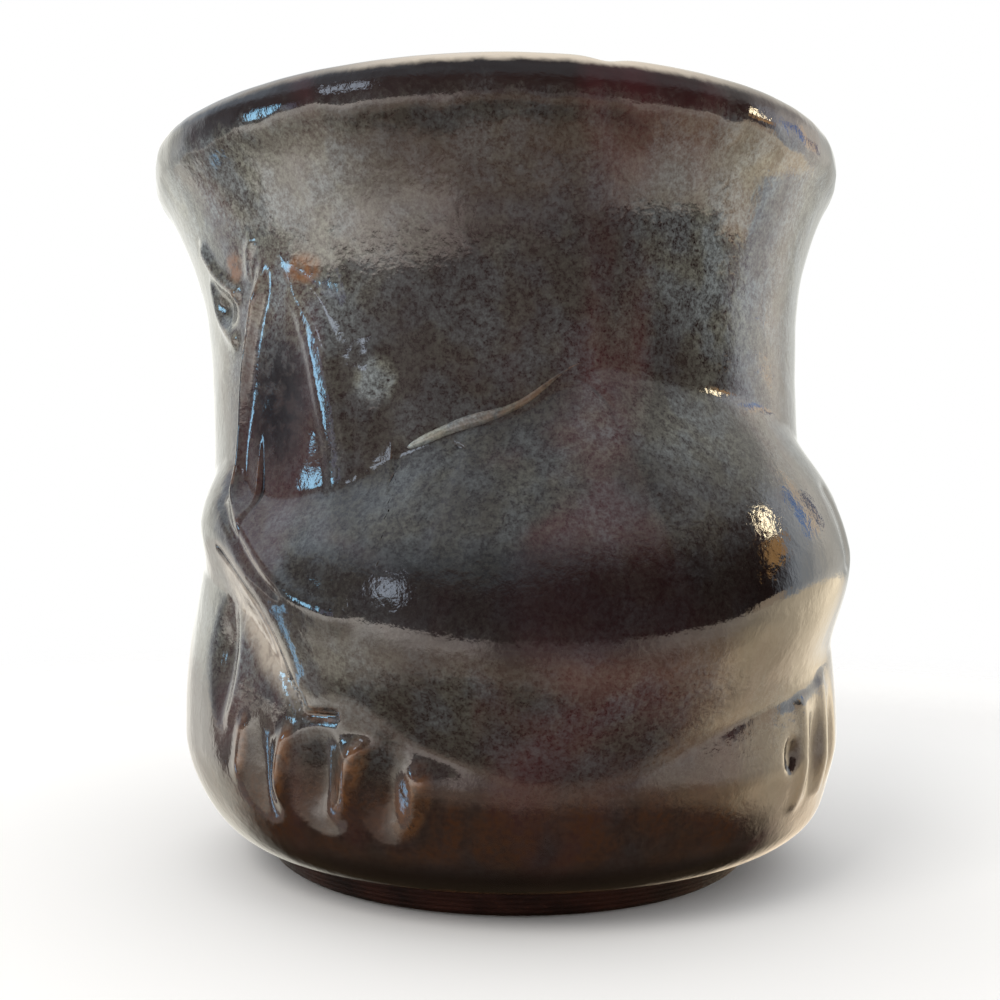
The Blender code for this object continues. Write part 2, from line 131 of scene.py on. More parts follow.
# Tail sheet: width of its soft edge and the angles between which it widens, what is left of it at its foot
# and tip and where, and how it fades into its seam
SHEET_SOFTNESS = (1.6 * MM, 6.6 * MM)
SHEET_SOFTER = (-45, -30)
SHEET_FOOT = 0.4
SHEET_FOOT_FROM = -46
SHEET_FOOT_RISE = (49 * MM, 58 * MM)
SHEET_TIP = 0.15
SHEET_TIP_FALL = (66 * MM, 77 * MM)
SEAM_FADE = 4 * MM
SHEET_REACH = 7 * MM

# Lines worked into the clay: height and half width in millimetres, then the places they pass through
LINE_STEPS = 8
LINE_REACH = 3
LINE_ENDS = 0.14
TAIL_LINES = [
    (1.6, 1.2, [(-43.8, 79.5), (-44.8, 75), (-47.2, 71.3), (-49.8, 66), (-51.4, 61), (-52.2, 57),
                (-52.2, 52.5), (-50, 49), (-44.5, 45.5), (-39, 42.1), (-33, 38.6), (-27, 36.4)]),
    (0.3, 1.6, [(-32.5, 88), (-31, 84), (-29.6, 80), (-27.5, 75), (-25.5, 70), (-24.2, 66.5), (-23.6, 64)]),
]
TAIL_FOLDS = [
    (0.45, 1.8, [(-42.5, 76.5), (-38, 74), (-35, 71.7), (-33.4, 68.8), (-32.3, 66), (-31.3, 62),
                 (-30.2, 58.5), (-29.2, 54), (-28.6, 48), (-28.4, 43)]),
]
WALL_LINES = [
    (0.8, 1.0, [(-65, 83), (-60.5, 78.5), (-56, 76), (-51.5, 74)]),
    (0.6, 1.0, [(-63, 79), (-63, 74), (-58.5, 70.4), (-54.5, 68.8)]),
    (0.3, 0.8, [(-48.5, 75.5), (-47, 79.2), (-44.8, 80.4)]),
]
BODY_LINES = [
    (0.4, 1.5, [(-50, 49), (-45, 45.6), (-39.5, 41.8), (-33.5, 38.3), (-27, 36.5), (-21, 35.5)]),
    (-0.3, 0.7, [(-56, 50), (-52, 48), (-47.5, 45.2), (-42.5, 42.2), (-37.5, 39.4), (-33, 37.4)]),
    (-0.2, 0.6, [(8, 63.5), (13, 59.7), (15, 55.3), (16.5, 52.4), (18, 48.8), (19.3, 45), (19.5, 38)]),
    (0.2, 1.8, [(12, 63.5), (16, 59.7), (18, 55.3), (19.5, 52.4), (21.5, 47)]),
    (-0.22, 1.0, [(-8.5, 55), (-9.5, 53.6), (-11.5, 49), (-13.5, 44.4), (-15, 42)]),
    (-0.35, 1.6, [(58, 52), (60, 46), (60, 40)]),
    (-0.3, 1.4, [(66, 50), (68, 44), (67, 38)]),
    (-0.35, 0.5, [(-54, 44), (-51, 42.4), (-42, 37.8), (-38, 32.7), (-36, 29.4), (-33.5, 26.3), (-32, 24.5)]),
    (-0.2, 1.4, [(-34, 28), (-30, 27.4), (-24, 27.1), (-19, 25.5), (-15, 22.8), (-12, 21.6), (-6, 19)]),
]
HEEL_LINES = [
    (-0.6, 0.6, [(-33.4, 24.5), (-31.5, 24.7), (-29.8, 24.8), (-28, 24.9), (-26, 24.9)]),
    (0.2, 1.0, [(-46, 36), (-46.5, 32), (-47, 28.5), (-48.5, 25), (-51.5, 21.5)]),
    (-0.07, 0.5, [(28, 23.0), (34.6, 24.2), (40, 25), (49, 26), (58, 28)]),
    (0.35, 0.5, [(44.6, 20.2), (44.6, 19.4), (44.6, 18.6), (44.6, 17.8)]),
    (0.35, 1.2, [(48, 26), (48.5, 23), (49, 15), (48, 11)]),
    (0.35, 1.2, [(56, 28), (57, 25), (57.5, 15), (57, 12)]),
]

# Hollows pressed into the clay and bumps left on it: depth in millimetres, centre and half sizes as places,
# and how far the deepest point lies to the right and up (1 in the middle, more towards that side)
HOLLOWS = [
    (0.6, (-41.5, 61.5), (9.0, 12.0), (1.0, 1.0)),
    (-0.5, (-23.4, 63.0), (5.0, 5.0), (1.0, 1.0)),
    (0.8, (-58, 73.4), (5.0, 3.0), (1.0, 1.0)),
    (1.3, (-54.5, 28.8), (6.5, 10.0), (1.9, 1.3)),
    (1.0, (44.6, 19.0), (2.2, 2.9), (1.0, 1.0)),
    (0.9, (53, 18.6), (4.0, 7.0), (1.0, 1.0)),
    (0.8, (62, 19.5), (4.0, 8.0), (1.0, 1.0)),
    (1.1, (-42, 18.0), (5.4, 7.0), (1.3, 0.8)),
    (2.0, (-31, 17.8), (7.0, 7.2), (1.3, 0.8)),
    (1.8, (-20.3, 17.0), (6.4, 7.0), (1.2, 0.8)),
]

# Fingers of clay in the heel, where the glaze ran thin and brown: angle at the height FINGER_MIDDLE, degrees
# it leans to the right for each millimetre up, half width in degrees, then top, bottom and height off the
# wall in millimetres; the two eases say how far past its ends a finger begins and is full
FINGER_MIDDLE = 18.0
FINGER_FOOT_EASE = (-1.5, 2.0)
FINGER_TOP_EASE = (0.8, -1.5)
FINGERS = [
    (-46.4, 0.20, 1.5, 23.5, 16.0, 0.4),
    (-37.1, 0.36, 1.6, 23.4, 14.5, 0.8),
    (-25.6, 0.62, 2.4, 22.6, 13.0, 0.8),
    (-15.3, 0.35, 2.8, 19.8, 12.0, 0.5),
]

# Waves of hand-worked clay: height in millimetres, waves round the mug, radians for each metre up, and start
LUMPS = [(0.10, 3, 95, 0.7), (0.06, 5, -210, 2.1), (0.03, 9, 330, 4.4), (0.015, 14, -520, 1.3)]
DRIPS = [(0.5, 11, 0, 1), (0.35, 27, 0, 2), (0.25, 53, 0, 0)]
RIM_WAVES = [(0.12, 2, 0, 0.5), (0.08, 5, 0, 2)]
RIM_DENT = 0.45 * MM
RIM_DENT_ANGLE = 14
RIM_DENT_WIDTH = 2.4
LUMPS_FROM = (4 * MM, 12 * MM)

# Relief of the cup itself: heights off the wall and the band's place in millimetres, other lengths in metres
THROWING_RING = 0.02
THROWING_PITCH = 1.1 * MM
RINGS_START = (56 * MM, 64 * MM)
RINGS_END = (84 * MM, 90 * MM)
LIP_BAND = 0.2
LIP_BAND_PLACE = 91.2
LIP_BAND_WIDTH = 1.6 * MM
LIP_EASE = 0.6
LIP_EASE_WIDTH = 2.4 * MM
HEEL_SWELL = 1.3
HEEL_SWELL_ANGLE = 70
HEEL_SWELL_SPREAD = 26
HEEL_SWELL_PLACE = 7 * MM
HEEL_SWELL_WIDTH = 4.5 * MM
ROOT_SWELL = 0.9
ROOT_SWELL_SPREAD = 17
ROOT_TOP_WIDTH = 11 * MM
ROOT_FOOT_WIDTH = 10 * MM
INNER_RING = 0.10 * MM
INNER_PITCH = 1.0 * MM
INNER_RINGS_START = 80 * MM
INNER_FLOOR_RING = 0.3 * MM
INNER_FLOOR_PITCH = 3 * MM

# Handle, mouth, eye and back coil; waves are shares of the size, along the length
HANDLE_TOP = 79.0 * MM
HANDLE_BOTTOM = 25.0 * MM
HANDLE_REACH = 35.0 * MM
HANDLE_RISE = 9.0 * MM
HANDLE_TUCK = 3.0 * MM
HANDLE_WIDTH = 20.0 * MM
HANDLE_FOOT_WIDTH = 15.0 * MM
HANDLE_THICKNESS = 8.5 * MM
HANDLE_FLARE = 1.35
HANDLE_FLARE_LENGTH = 11.5 * MM
HANDLE_SQUARENESS = 0.85
HANDLE_PULL = 0.75
HANDLE_TOP_PULL = 1.08
HANDLE_FOOT_PULL = 0.92
HANDLE_WAVES = [(0.015, 9, 0, 1), (0.01, 23, 0, 0)]
ROOT_COLLAR = 0.16
ROOT_COLLAR_LENGTH = 4.5 * MM
ROOT_WRAP_LENGTH = 14 * MM
OUTER_GROOVE = 0.15
OUTER_GROOVE_PLACE = 0.42
OUTER_GROOVE_WIDTH = 0.14
INNER_GROOVE = 0.1
INNER_GROOVE_WIDTH = 0.35
HANDLE_SHIFT = RIM_SHIFT * (HANDLE_TOP / CUP_HEIGHT) ** 3 / 2
MOUTH_LIP_HEIGHT = 5.6 * MM
MOUTH_LIP_DEPTH = 3.4 * MM
MOUTH_LIP_START = 93.6
MOUTH_LIP_END = 100.5
MOUTH_HEIGHT = 42.0 * MM
MOUTH_SPAN = (-0.6, 0.995)
MOUTH_OVERLAP = 1.04
EYE_RADIUS = 2.4 * MM
EYE_THICKNESS = 1.0 * MM
EYE_ANGLE = 79
EYE_HEIGHT = 49.0 * MM
EYE_OUTLINE = [
    (1.0, -0.5), (1.04, 0.1), (1.0, 0.42), (0.86, 0.78), (0.66, 0.96), (0.46, 0.94), (0.34, 0.72),
    (0.22, 0.52), (0.03, 0.46),
]
FIN_START = -17.5
FIN_END = 10
FIN_RADIUS = 0.95 * MM
FIN_LIFT = 0.5 * MM
FIN_SPAN = (0.004, 0.996)
FIN_TAPER = (1.05, 0.75)
FIN_WAVE = [(0.08, 17, 0, 1)]
FIN_SINK = (0.1, 1.0)
# Milky glaze on the coil and a painted highlight along it, fading to the right
FIN_MILK_AND_HIGHLIGHT = (0.04, 0.85)

# Outline of the foot's underside and chamfer, as shares of its radius and height, and the marks on its side
FOOT_OUTLINE = [(0.12, 0), (0.5, 0), (0.9, 0), (0.975, 0), (0.99, 0.05), (1.0, 0.17)]
FOOT_TOP_SHARES = (0.99, 0.5, 0.12)
FOOT_MARK = 0.05 * MM
FOOT_MARKS = 31
FOOT_WAVE = 0.12 * MM
FOOT_SIDE_SPAN = (0.2, 1.08)
FOOT_TUCK = 0.1 * MM

# How finely the surfaces are cut: rows and columns of their grids, steps in degrees and millimetres, and how
# strongly the cup's columns gather at the front
CUP_COLUMNS = 400
CUP_GATHER = 0.25
CUP_ROWS = 176
HEEL_STEPS = (0, 0.1, 0.3, 0.6)
UNDERSIDE_SHARES = (0.3, 0.7, 0.97)
LIP_STEPS = 26
INSIDE_ROWS = 30
CORNER_STEPS = 8
FLOOR_STEPS = 6
BODY_GRID = (250, 110)
HEAD_GRID = (210, 110)
TAIL_GRID = (100, 150)
HANDLE_GRID = (180, 72)
EYE_GRID = (60, 48)
FOOT_GRID = (24, 240)
COIL_RINGS = 140
MOUTH_RINGS = 48
ROD_SIDES = 32
EDGE_STEPS = 110
FAN_STEPS = 90
OUTLINE_STEP = 0.6
OUTLINE_RISE = 0.5
OUTLINE_REACH = 4 * MM

# Glaze zones on the wall: centre and half sizes as places, and a strength where there are several
# The fish's crest and right side: near-black glaze with less milkiness, partly a painted dark reflection
FISH_CREST = ((12, 38), (75, 8))
FISH_RIGHT = ((52, 38), (52, 11))
# Milky glaze with painted reflection of the bright sides: on the upper neck, left and right, and on the
# saddle under the tail
MILK_AND_SHEEN_ZONES = [
    ((-56, 80), (44, 22), 0.25), ((54, 80), (40, 24), 0.26), ((40, 57), (36, 8), 0.08),
    ((-45, 34), (34, 10), 0.12),
]
# Pale disc on the knob beside the tail: milky glaze and a painted reflection
KNOB_MILK_AND_SHEEN = ((-23.3, 62.5), (4.2, 3.1))
KNOB_FULLNESS = 1.6
KNOB_MILK_AND_SHEEN_AMOUNT = 0.22
# Painted sheen: faces that look up are made paler
UPWARD_SHEEN = 0.05
MILK_EVERYWHERE = 0.085
THIN_ZONES = [((-36.2, 75.8), (4.6, 2.2), 1), ((-53.5, 78), (3.6, 2.4), 1), ((-29.8, 24.7), (3.6, 0.9), 0.6)]
# Near-black in the tail's hollow and the eye's hollow: pooled glaze and painted shade
POOL_AND_SHADE_ZONES = [((-42.5, 61), (9, 11), 1), ((44.6, 19), (2.2, 2.7), 1)]
# Pale ridge under the tail: glaze breaking pale over it, with a painted reflection of the bright floor
PALE_RIDGE = ((-41.5, 34.5), (6.5, 10.5))
PALE_RIDGE_MIDDLE = 33
PALE_RIDGE_LEAN = 1.04
# Tan lip: worn glaze, with a painted highlight strongest along the front of the rim
LIP_WEAR_AND_HIGHLIGHT = ((3, 96), (34, 12))
FINGER_SPREAD = 1.3
FINGER_MARGIN = 1.5
FINGER_STRENGTH = 0.5

# Glaze by height in millimetres: where each zone begins and is full; the lip counts down from the top
MILK_UNDER_LIP = (97.5, 94.5)
# Painted shade towards the heel: less milkiness low down
MILK_OVER_HEEL = (14, 26)
BROWN_BAND_BOTTOM = (6.5, 10.5)
BROWN_BAND_TOP = (20, 14)
# Painted shade: near-black towards the bottom, where the glaze turns in over the foot
DARK_HEEL = (9.5, 6.5)
# Amber at the glaze's edge over the foot: thinner glaze, with a painted highlight along it
AMBER_FOOT_EDGE = (5.6, 4.9)
DRY_HEEL = (6.5, 4.5)
LIP_BELOW_TOP = (1.8, 0.9)

# Noises of the glaze: waves in a metre, detail and distortion; the first two are drawn out downwards
RUN_STRETCH = 0.4
RUN_NOISES = {"blotch": (55, 3, 0.6), "streak": (170, 2, 0.4)}
GLAZE_NOISES = {"cloud": (210, 4), "mottle": (620, 4, 0.5), "speckle": (1800, 3), "dust": (4200, 2)}
PEEL_NOISE = (650, 1)
GLAZE_BUMP = {"Strength": 0.8, "Distance": 0.025 * MM}

# Bare clay: its noises, how far the turning lines are drawn out round it, and where painted shade darkens it
# under the cup
CLAY_GRAIN = (2600, 3)
CLAY_PATCH = (130, 3)
TURNING_LINES = (300, 2)
TURNING_STRETCH = 9
CLAY_BUMP = {"Strength": 0.6, "Distance": 0.05 * MM}
# Painted shade at the foot's top, under the cup
PAINTED_SHADE_UNDER_CUP = (3.2, 4.2)

# Colours, linear
BLACK_BROWN = (0.014, 0.008, 0.007)
NEAR_BLACK = (0.004, 0.002, 0.002)
WINE = (0.038, 0.010, 0.011)
# Colours of milky glaze, which also carry its painted sheen and reflections
MILK_AND_SHEEN_GREEN = (0.28, 0.285, 0.235)
MILK_AND_SHEEN_BLUE = (0.23, 0.255, 0.255)
WARM_BROWN = (0.038, 0.015, 0.007)
AMBER = (0.20, 0.075, 0.018)
# Tan of worn and broken glaze, also carrying painted highlights on the lip and the ridge under the tail
LIP_TAN = (0.62, 0.54, 0.44)
CLAY_RED = (0.028, 0.007, 0.004)
CLAY_DARK = (0.009, 0.003, 0.0025)
CLAY_SAND = (0.07, 0.026, 0.014)
GLAZE_IOR = 1.65

# Studio: a floor, and cards that only gloss reflects, as brightness by azimuth (degrees from the front
# towards +X) in four tables, each with the rise in degrees at which it takes over.  The cards are a shell
# whose first ring is kept off its pole, and a smaller card fades between two shares of its half size.
FLOOR_RADIUS = 0.34
FLOOR_RINGS = (0.05, 0.3, 0.6, 1.0)
FLOOR_FADE = (0.35, 0.9)
FLOOR_LEVEL = -0.0002
FLOOR_COLOUR = (0.95, 0.945, 0.935)
FLOOR_SIDES = 96
CARD_DISTANCE = 1.2
CARD_GRID = (24, 48)
CARD_POLE = 0.02
CARD_EDGE = (1.2, 0.8)
CARD_CLOUDS = (3.2, 3)
FAR_TABLE = [
    (-180, (1.0, 0.97, 0.9)), (-140, (1.2, 1.15, 1.05)), (-110, (2.4, 2.3, 2.1)), (-60, (2.6, 2.4, 2.2)),
    (-36, (2.0, 1.75, 1.6)), (-16, (1.1, 0.9, 0.85)), (-7, (0.4, 0.3, 0.3)), (32, (0.25, 0.2, 0.2)),
    (46, (1.2, 1.0, 0.85)), (72, (1.5, 1.25, 1.0)), (92, (2.3, 1.9, 1.35)), (130, (2.6, 2.2, 1.6)),
    (148, (1.2, 1.15, 1.05)),
]
NEAR_TABLE = [
    (-180, (0.8, 0.78, 0.7)), (-110, (1.4, 1.3, 1.1)), (-66, (1.1, 0.95, 0.8)), (-30, (0.7, 0.52, 0.42)),
    (-10, (0.5, 0.33, 0.25)), (50, (0.48, 0.31, 0.2)), (72, (1.0, 0.72, 0.44)), (92, (1.8, 1.4, 0.9)),
    (130, (1.6, 1.3, 0.95)),
]
WALL_CARDS = [
    (-180, (1.2, 1.2, 1.2)), (-130, (1.7, 1.7, 1.55)), (-114, (1.0, 1.05, 1.1)),
    (-104, (0.35, 0.38, 0.42)), (-84, (0.18, 0.2, 0.23)), (-66, (0.22, 0.21, 0.22)),
    (-40, (0.26, 0.23, 0.24)), (-26, (0.15, 0.12, 0.13)), (12, (0.10, 0.06, 0.065)),
    (40, (0.05, 0.03, 0.03)), (86, (0.04, 0.025, 0.02)), (96, (1.2, 1.3, 1.4)), (118, (1.8, 1.7, 1.5)),
    (140, (0.9, 0.9, 0.85)),
]
CEILING_CARDS = [
    (-180, (0.7, 0.75, 0.8)), (-90, (0.7, 0.85, 1.0)), (-60, (0.5, 0.6, 0.7)), (-35, (0.34, 0.42, 0.48)),
    (0, (0.24, 0.3, 0.34)), (60, (0.34, 0.36, 0.38)), (110, (0.8, 0.8, 0.75)),
]
SHADE_CARD = (0.05, 0.035, 0.02)
CEILING_FROM = (26, 34)
FAR_FROM = (-1, -4)
NEAR_FROM = (-8, -24)
SHADE_FROM = (-25, -40)

# Smaller cards: azimuth and rise in degrees, half sizes in degrees, and brightness
CARD_LIGHTS = [
    ((-103, -19), (15, 16), (0.42, 0.36, 0.34)),
    ((-107, -20), (2.8, 6), (1.3, 2.4, 3.5)),
    ((-74, 11), (3.8, 6.5), (3.4, 6.8, 9.6)),
    ((-65, 6), (2.0, 7), (0.9, 0.95, 1.3)),
    ((-44, 24), (5, 3.5), (2.8, 3.2, 3.8)),
    ((87.5, 23.5), (2.6, 2.4), (18, 15, 10)),
    ((87.5, 17), (5, 2.6), (2.0, 1.1, 0.4)),
    ((86, 1), (7, 4), (1.8, 1.4, 1.0)),
    ((109, 20), (2.0, 6), (0.3, 0.7, 1.6)),
    ((115, 20), (2.0, 7), (2.4, 1.9, 1.4)),
    ((120, 18), (1.8, 4), (0.15, 0.2, 0.4)),
]

# Soft lamp
LAMP_PLACE = (-0.35, -0.45, 0.55)
LAMP_SIZE = 0.3
LAMP_POWER = 2.0
LAMP_COLOUR = (1, 0.97, 0.93)

# Camera: focal length as a share of the picture's width, and the shift that puts the mug where it stands
SENSOR = 36
CAMERA_PLACE = (-0.0073, -0.16608, 0.0454)
CAMERA_FOCUS = 1.136
CAMERA_SHIFT = (0.043, 0.031)
CAMERA_NEAR = 0.01

# How the pieces lap
EDGE_SINK = 0.05 * MM
SINK_WIDTH = 0.8 * MM
CUP_SINK = 0.6 * MM
CUP_SINK_WIDTH = 2.5 * MM
LAP = 0.3 * MM
PAD_BED = 0.5 * MM


def rise(value, low, high):
    """Smooth step from 0 at low to 1 at high, a cubic with level ends."""
    t = np.clip((value - low) / (high - low), 0, 1)
    return t * t * (3 - 2 * t)


def bell(distance, width):
    """Bell curve: 1 at no distance, falling to 1/e at one width."""
    return np.exp(-(distance / width) ** 2)


def through(points, where):
    """Smooth curve through (position, value) points.

    Between two points it is a cubic whose end slopes are the mean of the straight slopes on either side.
    """
    at, value = np.array(points, dtype=float).T
    slope = np.diff(value) / np.diff(at)
    tangent = np.concatenate(([slope[0]], (slope[:-1] + slope[1:]) / 2, [slope[-1]]))
    where = np.clip(where, at[0], at[-1])
    span = np.clip(np.searchsorted(at, where, side="right") - 1, 0, len(slope) - 1)
    step = at[span + 1] - at[span]
    t = (where - at[span]) / step
    return (value[span] * (1 + 2 * t) * (1 - t) ** 2 + tangent[span] * step * t * (1 - t) ** 2
            + value[span + 1] * t ** 2 * (3 - 2 * t) - tangent[span + 1] * step * t ** 2 * (1 - t))


def height_of(line, angle):
    """Height in metres of an outline, given in millimetres, at an angle."""
    return through(line, angle) * MM


def spline(points, count):
    """Points spread along a smooth curve through control points, as an array of count rows."""
    points = np.array(points, dtype=float)
    knots = np.arange(len(points))
    t = np.linspace(0, len(points) - 1, count)
    return np.stack([through(np.stack([knots, column], axis=1), t) for column in points.T], axis=1)


def wall_radius(z):
    """Outer radius of the bare wall.

    A superellipse at the heel, half a cosine wave up to the waist, and a cube from there to the lip.
    """
    low = np.clip((BELLY_HEIGHT - z) / (BELLY_HEIGHT - CUP_BOTTOM), 0, 1)
    heel = HEEL_RADIUS + (BELLY_RADIUS - HEEL_RADIUS) * (1 - low ** HEEL_FULLNESS) ** (1 / HEEL_FULLNESS)
    middle = np.clip((z - BELLY_HEIGHT) / (WAIST_HEIGHT - BELLY_HEIGHT), 0, 1)
    waist = WAIST_RADIUS + (BELLY_RADIUS - WAIST_RADIUS) * (0.5 + 0.5 * np.cos(math.pi * middle))
    high = np.clip((z - WAIST_HEIGHT) / (LIP_START - WAIST_HEIGHT), 0, 1)
    flare = WAIST_RADIUS + (LIP_RADIUS - WAIST_RADIUS) * high ** 3
    return np.where(z < BELLY_HEIGHT, heel, np.where(z < WAIST_HEIGHT, waist, flare))


def settle(radius, angle, z):
    """Point at a radius, angle and height, moved as the thrown cup leans.

    It moves to -X by the cube of its share of the height, and its front and back sink by the eighth power.
    """
    a = np.radians(angle)
    share = z / CUP_HEIGHT
    x = radius * np.sin(a) + RIM_SHIFT * share ** 3
    y = -radius * np.cos(a)
    return np.stack(np.broadcast_arrays(x, y, z - RIM_DIP * share ** 8 * np.cos(a) ** 2), axis=-1)


def off_wall(angle, z, out):
    """Point that stands a distance out from the bare wall."""
    return settle(wall_radius(z) + out, angle, z)


def nearest_on(line, angle, z, reach):
    """Distance along the wall to a line of straight steps, up to reach, and where along it, from 0 to 1.

    The line's points are angles in degrees and heights in metres.
    """
    far, share_of = np.full(angle.shape, reach), np.zeros(angle.shape)
    near = ((angle > line[:, 0].min() - reach / DEGREE) & (angle < line[:, 0].max() + reach / DEGREE)
            & (z > line[:, 1].min() - reach) & (z < line[:, 1].max() + reach))
    x, y = angle[near] * DEGREE, z[near]
    best, where = np.full(x.shape, reach), np.zeros(x.shape)
    line = line * (DEGREE, 1)
    for number, (start, step) in enumerate(zip(line, np.diff(line, axis=0))):
        share = ((x - start[0]) * step[0] + (y - start[1]) * step[1]) / max(step @ step, TINY)
        share = np.clip(share, 0, 1)
        away = np.hypot(x - start[0] - share * step[0], y - start[1] - share * step[1])
        where = np.where(away < best, (number + share) / (len(line) - 1), where)
        best = np.minimum(best, away)
    far[near], share_of[near] = best, where
    return far, share_of


def worked_lines(lines, angle, z, flatness=1):
    """Sum of the ridges and grooves in a list: bell curves of the distance to each line, fading at its ends.

    A flatness of 2 squares the distance once more, for a flat top and steeper sides.
    """
    total = np.zeros(angle.shape)
    for height, width, places in lines:
        places = np.array(places, dtype=float) * (1, MM)
        line = spline(places, LINE_STEPS * len(places))
        away, share = nearest_on(line, angle, z, LINE_REACH * width * MM)
        ends = rise(share, 0, LINE_ENDS) * rise(1 - share, 0, LINE_ENDS)
        total += height * MM * ends * bell((away / (width * MM)) ** flatness, 1)
    return total


def hollows(angle, z):
    """Sum of the pressed hollows: bowls with soft edges, whose deepest point may lie off their middle.

    A bowl is the square of 1 less the squared distance from its middle, in half sizes.  Raising a share of
    its width or height to a power moves the deepest point.
    """
    total = np.zeros(angle.shape)
    for depth, (centre, height), (half_angle, half_height), (lean_right, lean_up) in HOLLOWS:
        across = np.clip((angle - centre) / half_angle / 2 + 0.5, 0, 1) ** lean_right * 2 - 1
        up = np.clip((z / MM - height) / half_height / 2 + 0.5, 0, 1) ** lean_up * 2 - 1
        total -= depth * MM * np.clip(1 - across ** 2 - up ** 2, 0, 1) ** 2
    return total


def fingers(angle, z):
    """Sum of the fingers of clay in the heel: bell curves across, ending softly at the top and bottom."""
    total = np.zeros(angle.shape)
    for middle, lean, half, top, bottom, height in FINGERS:
        away = (angle - middle - lean * (z / MM - FINGER_MIDDLE)) / half
        foot = [(bottom + ease) * MM for ease in FINGER_FOOT_EASE]
        tip = [-(top + ease) * MM for ease in FINGER_TOP_EASE]
        total += height * MM * bell(away, 1) * (rise(z, *foot) * rise(-z, *tip))
    return total


def waves(table, a, z=0):
    """Sum of the sine waves in a list, at an angle in radians or a share of a length, and at a height."""
    return sum(height * np.sin(count * a + climb * z + start) for height, count, climb, start in table)


def cup_relief(angle, z):
    """Relief of the cup itself: the sum of its rings, lip band, heel, handle roots and lumps.

    Throwing rings are a fine sine wave up the neck.  Under the lip a bell curve stands out a little, at a
    height that wavers, and a square eases the wall in to the lip.  Bell curves make a fuller heel on the
    right and a swelling round each root of the handle.
    """
    a = np.radians(angle)
    rings = THROWING_RING * np.sin(z / THROWING_PITCH + a)
    rings = rings * rise(z, *RINGS_START) * rise(-z, -RINGS_END[1], -RINGS_END[0])
    band = LIP_BAND * bell(z - (LIP_BAND_PLACE + waves(DRIPS, a)) * MM, LIP_BAND_WIDTH)
    eased = LIP_EASE * np.clip((z - LIP_START) / LIP_EASE_WIDTH + 1, 0, 1) ** 2
    heel = HEEL_SWELL * bell(angle - HEEL_SWELL_ANGLE, HEEL_SWELL_SPREAD)
    heel = heel * bell(z - HEEL_SWELL_PLACE, HEEL_SWELL_WIDTH)
    root = bell(z - HANDLE_TOP, ROOT_TOP_WIDTH) + bell(z - HANDLE_BOTTOM, ROOT_FOOT_WIDTH)
    root = ROOT_SWELL * root * bell(180 - np.abs(angle), ROOT_SWELL_SPREAD)
    return (rings + (band - eased) + heel + root) * MM + waves(LUMPS, a, z) * MM * rise(z, *LUMPS_FROM)


def body_relief(angle, z):
    """Belly and head: highest on the crest line, easing to nothing at the back, underside and both ends.

    From crest to edge it falls as 1 less a power of the share of the way, all raised to one more power.
    """
    back, crest, under = [height_of(line, angle) for line in (BACK_LINE, CREST_LINE, UNDER_LINE)]
    up = np.clip((z - crest) / (back - crest), 0, 1)
    down = np.clip((crest - z) / (crest - under), 0, 1)
    rounded = np.where(z > crest, 1 - up ** BACK_FULLNESS, 1 - down ** UNDERSIDE_FULLNESS)
    tail_end = rise(angle, *[BODY_START + ease for ease in BODY_EASE])
    head_end = rise(-angle, *[-HEAD_END + ease for ease in HEAD_EASE])
    return BELLY_RELIEF * through(SWELL, angle) * rounded ** EDGE_EASE * (tail_end * head_end)


def tail_relief(angle, z):
    """Tail fan: a low sheet that runs out under the body, its free edge a smooth step, wider on the right."""
    edge = spline(SHEET_EDGE, EDGE_STEPS) * (1, MM)
    inside = (angle > SHEET_EDGE[0][0]) & (angle < TAIL_END) & (z < height_of(SHEET_EDGE, angle))
    depth = np.where(inside, nearest_on(edge, angle, z, SHEET_REACH)[0], 0)
    crisp, soft = SHEET_SOFTNESS
    softness = crisp + (soft - crisp) * rise(angle, *SHEET_SOFTER)
    foot = np.where(angle > SHEET_FOOT_FROM, SHEET_FOOT + (1 - SHEET_FOOT) * rise(z, *SHEET_FOOT_RISE), 1)
    tip = 1 - (1 - SHEET_TIP) * rise(z, *SHEET_TIP_FALL)
    lower = height_of(TAIL_SEAM, angle)
    return TAIL_RELIEF * rise(depth / softness, 0, 1) * rise(z, lower - SEAM_FADE, lower) * foot * tip


def relief(angle, z):
    """Height of the finished clay off the bare wall, everywhere outside the cup.

    Belly and tail join in a smooth maximum: half their sum, plus half the root of their difference squared
    and a softness squared.
    """
    tail = tail_relief(angle, z) + worked_lines(TAIL_LINES, angle, z) + worked_lines(TAIL_FOLDS, angle, z, 2)
    body = body_relief(angle, z)
    fish = (body + tail + np.hypot(body - tail, FISH_SOFTNESS) - FISH_SOFTNESS) / 2
    lines = worked_lines(WALL_LINES + BODY_LINES + HEEL_LINES, angle, z)
    return cup_relief(angle, z) + fish + lines + hollows(angle, z) + fingers(angle, z)


